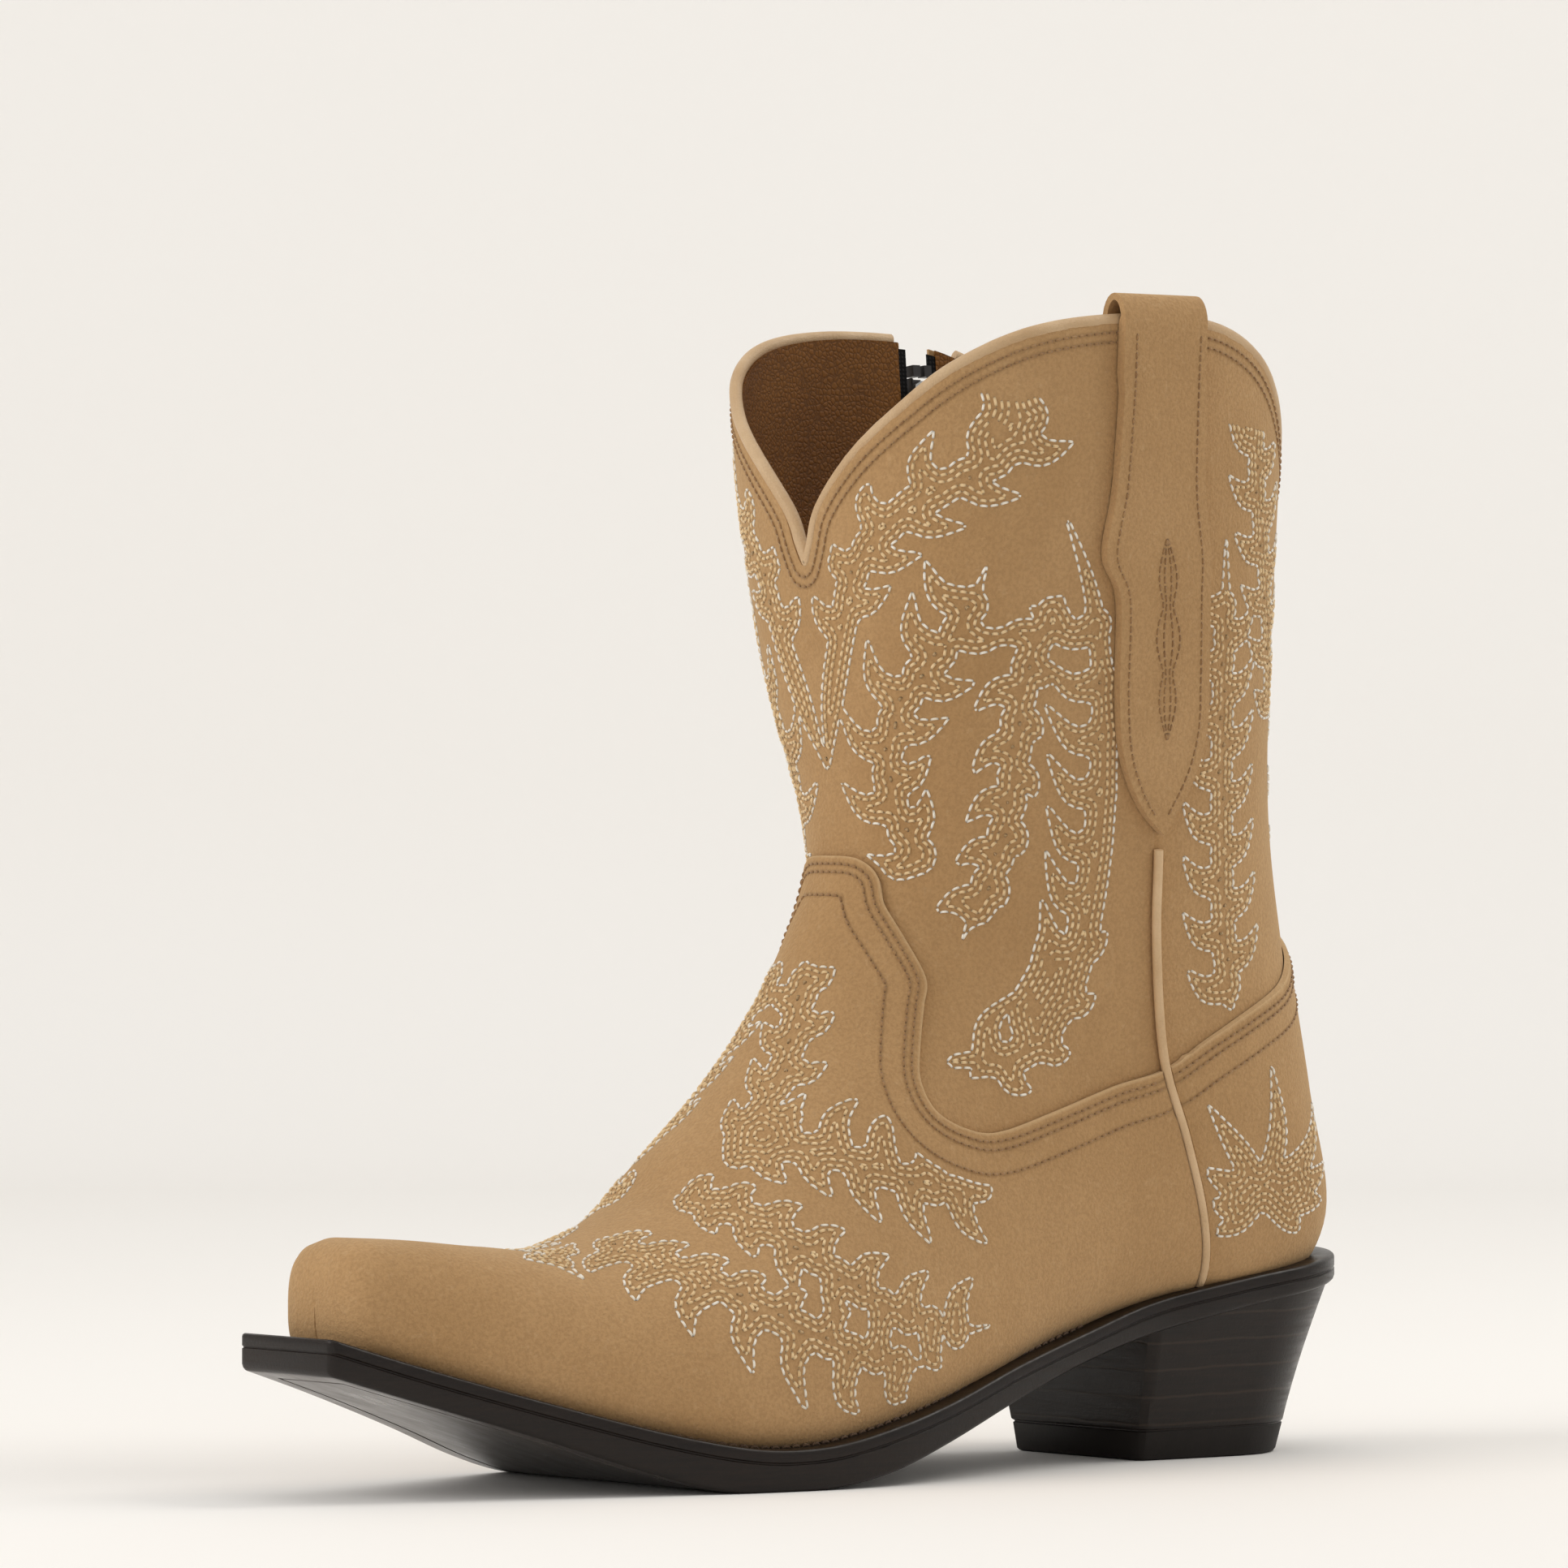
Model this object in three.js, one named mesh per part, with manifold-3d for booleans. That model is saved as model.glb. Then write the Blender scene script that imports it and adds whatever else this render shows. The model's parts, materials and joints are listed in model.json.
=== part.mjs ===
// A short western boot for the left foot, with a zip up its inner side.
// Millimetres. +Z is up, the toe points to -Y and the outer side of the foot is +X.
// The origin is on the ground, under the middle of the heel.
//
// The upper is three nested layers of leather that share one form, the shape of the boot's outside:
// vamp and counter outermost, shaft panels and stiffeners under them, linings inside.
import * as THREE from 'three';
import { ParametricGeometry } from 'three/addons/geometries/ParametricGeometry.js';
import { mergeVertices } from 'three/addons/utils/BufferGeometryUtils.js';
import Module from 'manifold-3d';

const wasm = await Module();
wasm.setup();

// ---------------------------------------------------------------- driving dimensions

const GAP = 0.3; // clearance between neighbouring pieces
const FLATNESS = 0.08; // bumps smaller than this are smoothed out of a finished piece
const AXIS_Y = -45; // the shaft's upright axis, which outlines on the shaft are wrapped round
const WRAP_RADIUS = 50; // one millimetre along a wrapped outline is 1 / WRAP_RADIUS radian
const BACK_S = Math.PI * WRAP_RADIUS; // the back seam, half way round from the front

// Layers of the upper, as distances inside the form: [outer face, inner face].
const OUTER_LAYER = [0, 1.5];
const MIDDLE_LAYER = [1.8, 3.3];
const LINING_LAYER = [3.6, 4.7];
const TAPE_LAYER = [3.65, 4.5];
// Bounds outside everything, for cutting solids.
const TOP_Z = 330;
const BOTTOM_Z = -50;
const FRONT_Y = -300;
const REAR_Y = 90;
const SIDE_X = 150;
const CUT_RADII = [3, 30, 37, 44, 51, 58, 65, 72, 90, 150]; // rings of the surface that trims the shaft
const OVERLAP = 10; // how far a shaft panel is tucked under the vamp or the counter

// Cross-sections of the form from the toe to the top of the shaft. A section lies in a plane that
// holds the X direction and runs from a front or upper point to a back or lower point.
const SECTIONS = [
  // front Y, Z  back Y, Z   outer, inner half width   front, back roundness   belly
  [-234, 57, -234, 29, 16.5, 16.5, 2.9, 3.4, 0.15],
  [-218, 56, -218, 23, 21, 21, 2.7, 3.4, 0.2],
  [-198, 54, -198, 16, 27.5, 27.5, 2.5, 3.4, 0.28],
  [-177, 53, -177, 10, 35, 35, 2.3, 3.4, 0.36],
  [-153, 62, -155, 5, 42, 42, 2.1, 3.4, 0.42],
  [-141, 75, -130, 4, 45, 43, 2, 3.4, 0.46],
  [-128, 89, -105, 8, 44, 40, 1.95, 3.4, 0.46],
  [-117, 103, -78, 15, 41, 37, 1.95, 3.2, 0.42],
  [-109, 116, -50, 25, 38, 35, 2, 3, 0.35],
  [-103, 127, -18, 32, 37, 35, 2.1, 3, 0.25],
  [-99, 138, 18, 33, 37, 36, 2.2, 3, 0.18],
  [-99, 149, 38, 50, 38.5, 37.5, 2.3, 2.8, 0.1],
  [-100, 160, 34, 80, 40, 39.5, 2.4, 2.6, 0.04],
  [-103, 174, 27, 112, 43, 42.5, 2.5, 2.5, 0],
  [-106, 193, 20, 150, 47, 46.5, 2.6, 2.5, 0],
  [-109, 225, 18, 205, 53, 51.5, 2.7, 2.6, 0],
  [-111, 275, 21, 275, 57, 57, 2.7, 2.6, 0],
];
const TOE_ADVANCE = 8; // how far the rounded end reaches past the first section
const TOE_BLUNTNESS = 0.62; // under 1 gives the end a flat face with rounded edges
const TOE_RINGS = 3;
const FORM_SIDES = 20;

// Sole, seen from the side: [Y, Z] points of its upper face and of its tread.
const SOLE_TOP = [
  [-256, 38.3], [-225, 28.5], [-200, 21], [-175, 14], [-155, 10], [-140, 9.5], [-125, 11.5],
  [-100, 17.5], [-75, 25], [-50, 31.5], [-27, 37.5], [0, 42], [20, 44.5], [46, 47.3],
];
const TREAD_REAR = [[-118, 3], [-100, 8.5], [-75, 17], [-50, 24.5], [-27, 30], [0, 35], [20, 38], [46, 41]];
const TREAD_FRONT = [[-256, 30], [-225, 20.5], [-200, 12.5], [-178, 5]];
const TREAD_FLAT = [-160, -134]; // the part of the sole that stands on the ground
const WELT_THICKNESS = 3.2;
const INSOLE_THICKNESS = 2.6;
const FOOTBED_THICKNESS = 3.5;
const PAD_THICKNESS = 1.6;
const SHANK_Y = [-98, -12];
const SHANK_HALF_WIDTH = 6;
const SHANK_THICKNESS = 1.2;
const SHANK_DEPTH = 0.6; // how far it lies under the sole's upper face

// Sole, seen from above.
const TOE_EDGE_Y = -250;
const TOE_EDGE_HALF = 17.5;
const SOLE_OUTER_EDGE = [
  [21, -232], [26.5, -213], [32, -196], [39, -175], [44.5, -155], [47.5, -135], [47.5, -115],
  [44.5, -95], [39.5, -72], [35, -50], [32, -27], [32.5, -8],
];
const SOLE_INNER_EDGE = [
  [-32.5, -8], [-30.5, -27], [-32, -50], [-36, -72], [-41, -95], [-44.5, -115], [-45.5, -135],
  [-44, -155], [-39, -175], [-32, -196], [-26.5, -213], [-21, -232],
];
const SEAT_Y = 12;
const SEAT_RADIUS = 32.8;
const WELT_WIDTH = 9.5;
const WELT_END_Y = -42;
const PAD_INSET = 7;
const PAD_END_Y = -96;

// Heel: the same outline at the ground and under the seat, each a straight breast and a round back.
const HEEL_GROUND = { breastY: -24.5, breastHalf: 22.5, backY: 5, radius: 24 };
const HEEL_SEAT = { breastY: -26.5, breastHalf: 29.5, backY: 11.5, radius: 31.5 };
const HEEL_HEIGHT = 44;
const TOP_PIECE_HEIGHT = 7;
const LIFT_HEIGHT = 6;
const WHOLE_LIFTS = 3; // the one above them is a wedge under the sloping seat
const NAIL_RADIUS = 1.2;
const NAIL_BOTTOM = 15;
const NAIL_PLACES = [[-16, -6], [16, -6], [-12, 18], [12, 18]];
const SCREW_RADIUS = 2.2;
const SCREW_PLACE = [0, 5];
const HOLE_TOP = HEEL_HEIGHT + 20; // above the insole

// Outlines on the shaft, as [distance round from the front, Z], for the outer side; both sides match.
const COLLAR = [
  [0, 207.5], [1.5, 211.5], [4.5, 219.7], [13, 230.6], [23.5, 241], [35, 251.3], [49, 258.8], [66.5, 262],
  [87, 262], [98, 260], [108, 255], [116, 248], [124, 238], [134, 226], [146, 217], [BACK_S, 213],
];
const VAMP_LINE = [
  [0, 140], [8, 139.5], [13, 136], [15.2, 129.5], [20, 122], [25.3, 112.5], [25.6, 106], [25.9, 98],
  [26.8, 89.7], [30, 82.4], [35.5, 78.3], [42, 77.5], [57, 81.5], [80, 87], [98, 90.6],
  [110, 97.5], [121.5, 104.8], [130, 110], [139, 117.5], [148, 123.5], [BACK_S, 126],
];
// The side seams and the zip, as [Y, Z].
const OUTER_SEAM = [
  [-47, 275], [-42, 200], [-36, 144], [-34, 122], [-30, 94], [-22.5, 75], [-16, 56], [-9, 30],
];
const INNER_SEAM = [[-30, 275], [-30, 200], [-30, 120], [-29, 98], [-24, 75], [-17, 56], [-10, 30]];
const SEAM_GAP = 2.8;
const TOE_PUFF_END = -196;
const LINING_JOIN = [[0, 126], [30, 90], [60, 84], [98, 84], [BACK_S, 96]];

// Zip: the chain runs down a straight line on the inner side.
const ZIP_TOP = new THREE.Vector3(-50.6, -30, 252);
const ZIP_BOTTOM = new THREE.Vector3(-34.3, -30, 106);
const ZIP_OPENING = 9;
const PANEL_SLOT_END = ZIP_BOTTOM.z - 6;
const INNER_BEAD_TOP = ZIP_BOTTOM.z - 8;
const TAPE_END = ZIP_BOTTOM.z - 8.5;
const LINING_SLOT_END = ZIP_BOTTOM.z - 9;
const ZIP_TAPE_EDGE = 3.3; // from the middle of the chain to the tape
const ZIP_TAPE_WIDTH = 12;
const TOOTH_PITCH = 3;
const FIRST_TOOTH = 0.5;
const TOOTH_SIZE = { reach: 2.2, height: 1.3, depth: 2.2 };
const CHAIN_CHANNEL = 0.6; // half of the free slot between the two rows of teeth
const STRINGER_WIDTH = 0.7;
const CORD_OVERLAP = 0.4; // how far a tooth is set into its cord
const STOP = { length: 3, halfWidth: 2.8, halfDepth: 1.3 };
const SLIDER = { length: 11, width: 8.4, plate: 1.1, inside: 3.2, post: 0.5 };
const SLIDER_REST = 6.5; // from the top of the chain to the slider's middle
const PULL = { length: 26, width: 6, thickness: 1.3, hole: 1.1, eye: 2, neck: 3 };
const PIVOT_RADIUS = 0.7;
const PIVOT_UP = 1.5;
const PIVOT_LIFT = 5;
const LUG = { gap: 0.5, thickness: 1, halfLength: 1.6, aboveAxis: 1.4, sunk: 0.2 };

// Pull strap: outline on the shaft as [distance round, Z], up the front edge and down the back edge.
const STRAP_FRONT_EDGE = [
  [89.4, 144.3], [81, 151], [74, 162], [71, 176], [69, 198], [64.6, 207.5], [66.5, 223], [67.5, 246],
];
const STRAP_BACK_EDGE = [
  [89.6, 246], [90.5, 223], [93.6, 207.5], [94.5, 198], [97, 180], [98.3, 168], [96, 157],
];
const STRAP_LAYER = [-0.9, 1.5];
const STRAP_INNER_LAYER = [5.7, 7.3];
const STRAP_TOP_Z = 267;
const STRAP_BEND_Z = 260.5;
const STRAP_TOP_Y = [-58, -33.5];
const STRAP_INSIDE_BOTTOM = 232;
const STRAP_LAP = 2; // how far the strap's flat outline and its upright part share
const BEND_LAP = 0.6; // how far the bend goes down into the two legs of the strap
const WALL_RADII = [36, 76]; // nearer and farther from the shaft's axis than its wall

const PIPING_RADIUS = 1.5;
const SEAM_BEAD_RADIUS = 1.1;
const SEAM_BOTTOM_Z = 38;
const OUTER_BEAD_TOP = 142;
const PIPING_STEPS = 60;
const BEAD_STEPS = 18;

// ---------------------------------------------------------------- colours

const material = (color, roughness, metalness = 0) =>
  new THREE.MeshStandardMaterial({ color, roughness, metalness });
const SUEDE = material(0xb6966a, 0.95);
const SMOOTH_TAN = material(0xd0b48c, 0.5);
const LINING = material(0x8a6534, 0.7);
const SOLE_BROWN = material(0x2c2320, 0.35);
const RUBBER = material(0x1d1a18, 0.6);
const BOARD = material(0xa08a66, 0.9);
const CORK = material(0x9a7448, 0.95);
const BACKING = material(0xd8cdb6, 0.95);
const STEEL = material(0x9a9a9c, 0.35, 1);
const GUNMETAL = material(0x3a3a3d, 0.3, 1);
const TAPE_BLACK = material(0x17161a, 0.9);

// ---------------------------------------------------------------- solids and booleans

// A three.js geometry as a manifold-3d solid, with shared corners merged and collapsed faces dropped.
function solidOf(geometry) {
  const bare = geometry.clone();
  bare.deleteAttribute('normal');
  bare.deleteAttribute('uv');
  const merged = mergeVertices(bare, 1e-4);
  const corners = merged.index.array;
  const triVerts = [];
  for (let i = 0; i < corners.length; i += 3) {
    const [a, b, c] = corners.slice(i, i + 3);
    if (a !== b && b !== c && c !== a) triVerts.push(a, b, c);
  }
  const solid = new wasm.Manifold(new wasm.Mesh({
    numProp: 3,
    vertProperties: Float32Array.from(merged.attributes.position.array),
    triVerts: Uint32Array.from(triVerts),
  }));
  if (solid.volume() >= 0) return solid;
  for (let i = 0; i < triVerts.length; i += 3) {
    [triVerts[i + 1], triVerts[i + 2]] = [triVerts[i + 2], triVerts[i + 1]];
  }
  return new wasm.Manifold(new wasm.Mesh({
    numProp: 3,
    vertProperties: Float32Array.from(merged.attributes.position.array),
    triVerts: Uint32Array.from(triVerts),
  }));
}

function geometryOf(solid) {
  const mesh = solid.getMesh();
  const geometry = new THREE.BufferGeometry();
  geometry.setAttribute('position', new THREE.BufferAttribute(mesh.vertProperties, 3));
  geometry.setIndex(new THREE.BufferAttribute(mesh.triVerts, 1));
  geometry.computeVertexNormals();
  return geometry;
}

const boot = new THREE.Group();

function addPart(name, solid, partMaterial, parent = boot) {
  const mesh = new THREE.Mesh(geometryOf(solid.simplify(FLATNESS)), partMaterial);
  mesh.name = name;
  parent.add(mesh);
}

// A closed solid through rings of equal numbers of points. The first and last rings are closed by
// their own middles.
function ringSolid(rings) {
  const sides = rings[0].length;
  const middle = (ring) => ring.reduce((sum, p) => sum.add(p), new THREE.Vector3()).divideScalar(sides);
  const first = middle(rings[0]);
  const last = middle(rings[rings.length - 1]);
  const stacks = rings.length + 1;
  const place = (u, v, target) => {
    const level = Math.round(v * stacks);
    const side = Math.round(u * sides) % sides;
    if (level === 0) target.copy(first);
    else if (level === stacks) target.copy(last);
    else target.copy(rings[level - 1][side]);
  };
  return solidOf(new ParametricGeometry(place, sides, stacks));
}

// ---------------------------------------------------------------- curves

const vectors2 = (points) => points.map(([x, y]) => new THREE.Vector2(x, y));
const smooth = (points, count) => new THREE.SplineCurve(vectors2(points)).getPoints(count);

function catmullRom(rows, t) {
  const last = rows.length - 1;
  const i = Math.min(Math.floor(t), last - 1);
  const f = t - i;
  const [a, b, c, d] = [i - 1, i, i + 1, i + 2].map((k) => rows[THREE.MathUtils.clamp(k, 0, last)]);
  return b.map((_, k) => 0.5 * (2 * b[k] + (c[k] - a[k]) * f
    + (2 * a[k] - 5 * b[k] + 4 * c[k] - d[k]) * f * f
    + (3 * b[k] - a[k] - 3 * c[k] + d[k]) * f * f * f));
}

// A point of the form. t counts sections from the toe, and -1 to 0 is the rounded toe end. angle is 0
// at the front or top of the section and positive towards the outer side. inset is how far inside.
function formPoint(t, angle, inset) {
  const row = catmullRom(SECTIONS, Math.max(t, 0));
  const [frontY, frontZ, backY, backZ, outer, inner, frontRound, backRound, belly] = row;
  const end = Math.max(-t, 0);
  const shrink = Math.cos(end * Math.PI / 2) ** TOE_BLUNTNESS;
  const advance = (TOE_ADVANCE - inset) * Math.sin(end * Math.PI / 2);
  const full = Math.hypot(frontY - backY, frontZ - backZ) / 2;
  const half = full - inset;
  const [dirY, dirZ] = [(frontY - backY) / (2 * full), (frontZ - backZ) / (2 * full)];
  const sideways = Math.sin(angle);
  const forward = Math.cos(angle);
  const power = 2 / (forward >= 0 ? frontRound : backRound);
  const width = (sideways >= 0 ? outer : inner) - inset;
  const waist = -belly * half;
  const reach = forward >= 0 ? half - waist : -(half + waist);
  const along = (waist + reach * Math.abs(forward) ** power) * shrink;
  return new THREE.Vector3(
    width * Math.sign(sideways) * Math.abs(sideways) ** power * shrink,
    (frontY + backY) / 2 - advance + dirY * along,
    (frontZ + backZ) / 2 + dirZ * along,
  );
}

const toeRing = (_, k) => -Math.cos(((k + 1) * Math.PI) / (2 * TOE_RINGS + 1));
const TOE_T = Array.from({ length: TOE_RINGS }, toeRing);
const BODY_T = [...SECTIONS.keys(), 2.5, 3.5].sort((a, b) => a - b);

// The whole form, solid, this far inside the boot's outside.
function formSolid(inset) {
  const angles = Array.from({ length: FORM_SIDES }, (_, k) => (2 * Math.PI * k) / FORM_SIDES);
  return ringSolid([...TOE_T, ...BODY_T].map((t) => angles.map((angle) => formPoint(t, angle, inset))));
}

const shell = ([outerFace, innerFace]) => formSolid(outerFace).subtract(formSolid(innerFace));

// Wrapped outline point [distance round, Z] at a distance from the shaft's axis.
function wrapped(s, z, radius) {
  const angle = s / WRAP_RADIUS;
  return new THREE.Vector3(radius * Math.sin(angle), AXIS_Y - radius * Math.cos(angle), z);
}

// A side view outline of [Y, Z] points, extruded from x0 to x1.
function sideSolid(points, x0, x1) {
  const shape = new THREE.Shape(points);
  const geometry = new THREE.ExtrudeGeometry(shape, { depth: x1 - x0, bevelEnabled: false });
  const basis = new THREE.Matrix4().makeBasis(
    new THREE.Vector3(0, 1, 0), new THREE.Vector3(0, 0, 1), new THREE.Vector3(1, 0, 0));
  geometry.applyMatrix4(basis.setPosition(x0, 0, 0));
  return solidOf(geometry);
}

// A box from [low, high] on each axis.
function sideBox([x0, x1], [y0, y1], [z0, z1]) {
  return sideSolid(vectors2([[y0, z0], [y1, z0], [y1, z1], [y0, z1]]), x0, x1);
}

// A plan outline of [X, Y] points, extruded from z0 to z1.
function planSolid(points, z0, z1) {
  const shape = new THREE.Shape(points);
  const geometry = new THREE.ExtrudeGeometry(shape, { depth: z1 - z0, bevelEnabled: false });
  return solidOf(geometry.translate(0, 0, z0));
}

// The part of the boot in front of the side seams, kept this far from them.
function inFront(distance) {
  const half = (seam, x0, x1) => {
    const line = smooth(seam, 18).map((p) => new THREE.Vector2(p.x - distance, p.y));
    const front = vectors2([
      [line.at(-1).x, BOTTOM_Z], [FRONT_Y, BOTTOM_Z], [FRONT_Y, TOP_Z], [line[0].x, TOP_Z],
    ]);
    return sideSolid([...line, ...front], x0, x1);
  };
  return half(OUTER_SEAM, 0, SIDE_X).add(half(INNER_SEAM, -SIDE_X, 0));
}

// ---------------------------------------------------------------- sole shapes

const soleTop = smooth(SOLE_TOP, 20);
const treadFlat = TREAD_FLAT.map((y) => new THREE.Vector2(y, 0));
const tread = [
  ...smooth([...TREAD_FRONT, [TREAD_FLAT[0], 0]], 12).slice(0, -1),
  ...treadFlat,
  ...smooth([[TREAD_FLAT[1], 0], ...TREAD_REAR], 22).slice(1),
];
const raised = (line, height) => line.map((p) => new THREE.Vector2(p.x, p.y + height));

// The slab between two side-view lines.
const band = (lower, upper) => sideSolid([...lower, ...[...upper].reverse()], -SIDE_X, SIDE_X);

// Everything under a side-view line.
function under(line) {
  const closing = vectors2([[REAR_Y, BOTTOM_Z], [FRONT_Y, BOTTOM_Z], [FRONT_Y, line[0].y]]);
  return sideSolid([...line, new THREE.Vector2(REAR_Y, line.at(-1).y), ...closing], -SIDE_X, SIDE_X);
}

const belowSole = under(raised(soleTop, GAP));

// The sole's outline, this far inside its edge.
function soleOutline(inset) {
  const shape = new THREE.Shape();
  shape.moveTo(TOE_EDGE_HALF, TOE_EDGE_Y);
  shape.splineThru(vectors2([...SOLE_OUTER_EDGE, [SEAT_RADIUS, SEAT_Y]]));
  shape.absarc(0, SEAT_Y, SEAT_RADIUS, 0, Math.PI / 2, false);
  shape.absarc(0, SEAT_Y, SEAT_RADIUS, Math.PI / 2, Math.PI, false);
  shape.splineThru(vectors2([...SOLE_INNER_EDGE, [-TOE_EDGE_HALF, TOE_EDGE_Y]]));
  const loop = shape.getPoints(3).filter((p, i, all) => i === 0 || p.distanceTo(all[i - 1]) > 0.5);
  return inset === 0 ? loop : insetLoop(loop, inset);
}

// Moves every edge of an anticlockwise loop inwards, and drops the corners that this leaves behind.
function insetLoop(loop, distance) {
  const count = loop.length;
  const edges = loop.map((point, i) => {
    const next = loop[(i + 1) % count];
    return new THREE.Line3(new THREE.Vector3(point.x, point.y, 0), new THREE.Vector3(next.x, next.y, 0));
  });
  const moved = loop.map((point, i) => {
    const before = point.clone().sub(loop[(i + count - 1) % count]).normalize();
    const after = loop[(i + 1) % count].clone().sub(point).normalize();
    const normal = new THREE.Vector2(-before.y - after.y, before.x + after.x).normalize();
    const miter = distance / Math.max(0.5, normal.x * -before.y + normal.y * before.x);
    return point.clone().addScaledVector(normal, miter);
  });
  const nearest = new THREE.Vector3();
  const farEnough = (p) => edges.every((edge) => {
    const spot = new THREE.Vector3(p.x, p.y, 0);
    return edge.closestPointToPoint(spot, true, nearest).distanceTo(spot) > distance - 0.1;
  });
  return moved.filter(farEnough);
}

const column = (inset) => planSolid(soleOutline(inset), BOTTOM_Z, TOP_Z);
const slabOf = (inset, lower, upper) => column(inset).intersect(band(lower, upper));
const strip = (y0, y1) => sideBox([-SIDE_X, SIDE_X], [y0, y1], [BOTTOM_Z, TOP_Z]);
const slice = (z0, z1) => sideBox([-SIDE_X, SIDE_X], [FRONT_Y, REAR_Y], [z0, z1]);

// One level of the heel, from the ground (0) to HEEL_HEIGHT (1).
function heelRing(level) {
  const mix = (key) => THREE.MathUtils.lerp(HEEL_GROUND[key], HEEL_SEAT[key], level);
  const shape = new THREE.Shape();
  shape.moveTo(-mix('breastHalf'), mix('breastY'));
  shape.lineTo(mix('breastHalf'), mix('breastY'));
  shape.quadraticCurveTo(mix('radius'), mix('breastY') / 2, mix('radius'), mix('backY'));
  shape.absarc(0, mix('backY'), mix('radius'), 0, Math.PI, false);
  shape.quadraticCurveTo(-mix('radius'), mix('breastY') / 2, -mix('breastHalf'), mix('breastY'));
  const loop = shape.getPoints(9).filter((p, i, all) => i === 0 || p.distanceTo(all[i - 1]) > 0.1);
  loop.pop();
  return loop.map((p) => new THREE.Vector3(p.x, p.y, level * HEEL_HEIGHT));
}

const heelBlock = ringSolid([heelRing(0), heelRing(1)]);

function pinSolid(radius, [x, y], z0, z1) {
  const geometry = new THREE.CylinderGeometry(radius, radius, z1 - z0, 8).rotateX(Math.PI / 2);
  return solidOf(geometry.translate(x, y, (z0 + z1) / 2));
}

// ---------------------------------------------------------------- places on the form

const caster = new THREE.Raycaster();
const wallMeshes = new Map();

function wallMesh(inset) {
  if (!wallMeshes.has(inset)) {
    const bothFaces = new THREE.MeshBasicMaterial({ side: THREE.DoubleSide });
    wallMeshes.set(inset, new THREE.Mesh(geometryOf(formSolid(inset)), bothFaces));
  }
  return wallMeshes.get(inset);
}

// Where a level line from a point inside leaves the form.
function leavesForm(origin, direction, inset) {
  caster.set(origin, direction);
  return caster.intersectObject(wallMesh(inset)).pop().point;
}

const onShaft = (s, z, inset) =>
  leavesForm(new THREE.Vector3(0, AXIS_Y, z), wrapped(s, 0, 1).sub(wrapped(0, 0, 0)).normalize(), inset);
const onSide = (side, y, z, inset) =>
  leavesForm(new THREE.Vector3(0, y, z), new THREE.Vector3(side, 0, 0), inset);

// A half outline moved down its own slope by a distance.
function lowered(line, distance) {
  const last = line.length - 1;
  return line.map((point, i) => {
    const atEnd = i === 0 || i === last;
    const along = atEnd ? new THREE.Vector2(1, 0) : line[i + 1].clone().sub(line[i - 1]).normalize();
    return new THREE.Vector2(point.x + along.y * distance, point.y - along.x * distance);
  });
}

// A half outline and its mirror image, in order right round the boot.
function mirrored(line) {
  const otherHalf = line.slice(1, -1).map((p) => new THREE.Vector2(-p.x, p.y)).reverse();
  return [...line, ...otherHalf];
}

// Everything above a half outline and its mirror image.
function above(line) {
  const loop = mirrored(line);
  const ring = (radius, height) => loop.map((p) => wrapped(p.x, height ?? p.y, radius));
  const rings = CUT_RADII.map((radius) => ring(radius));
  return ringSolid([...rings, ring(CUT_RADII.at(-1), TOP_Z), ring(CUT_RADII[0], TOP_Z)]);
}

// A round cord along a curve.
function cord(points, radius, steps) {
  const section = new THREE.Shape();
  section.absarc(0, 0, radius, 0, 2 * Math.PI, false);
  const extrudePath = new THREE.CatmullRomCurve3(points);
  const options = { steps, curveSegments: 3, bevelEnabled: false, extrudePath };
  return solidOf(new THREE.ExtrudeGeometry(section, options));
}

// ---------------------------------------------------------------- the upper

const collarLine = smooth(COLLAR, 30);
const vampLine = smooth(VAMP_LINE, 30);
const collarCut = above(lowered(collarLine, 2 * PIPING_RADIUS + 2 * GAP));

// An upright slot through the inner side, this wide each way from the zip.
const zipSlot = (half, bottom) =>
  sideBox([-SIDE_X, 0], [ZIP_TOP.y - half, ZIP_TOP.y + half], [bottom, TOP_Z]);

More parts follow.
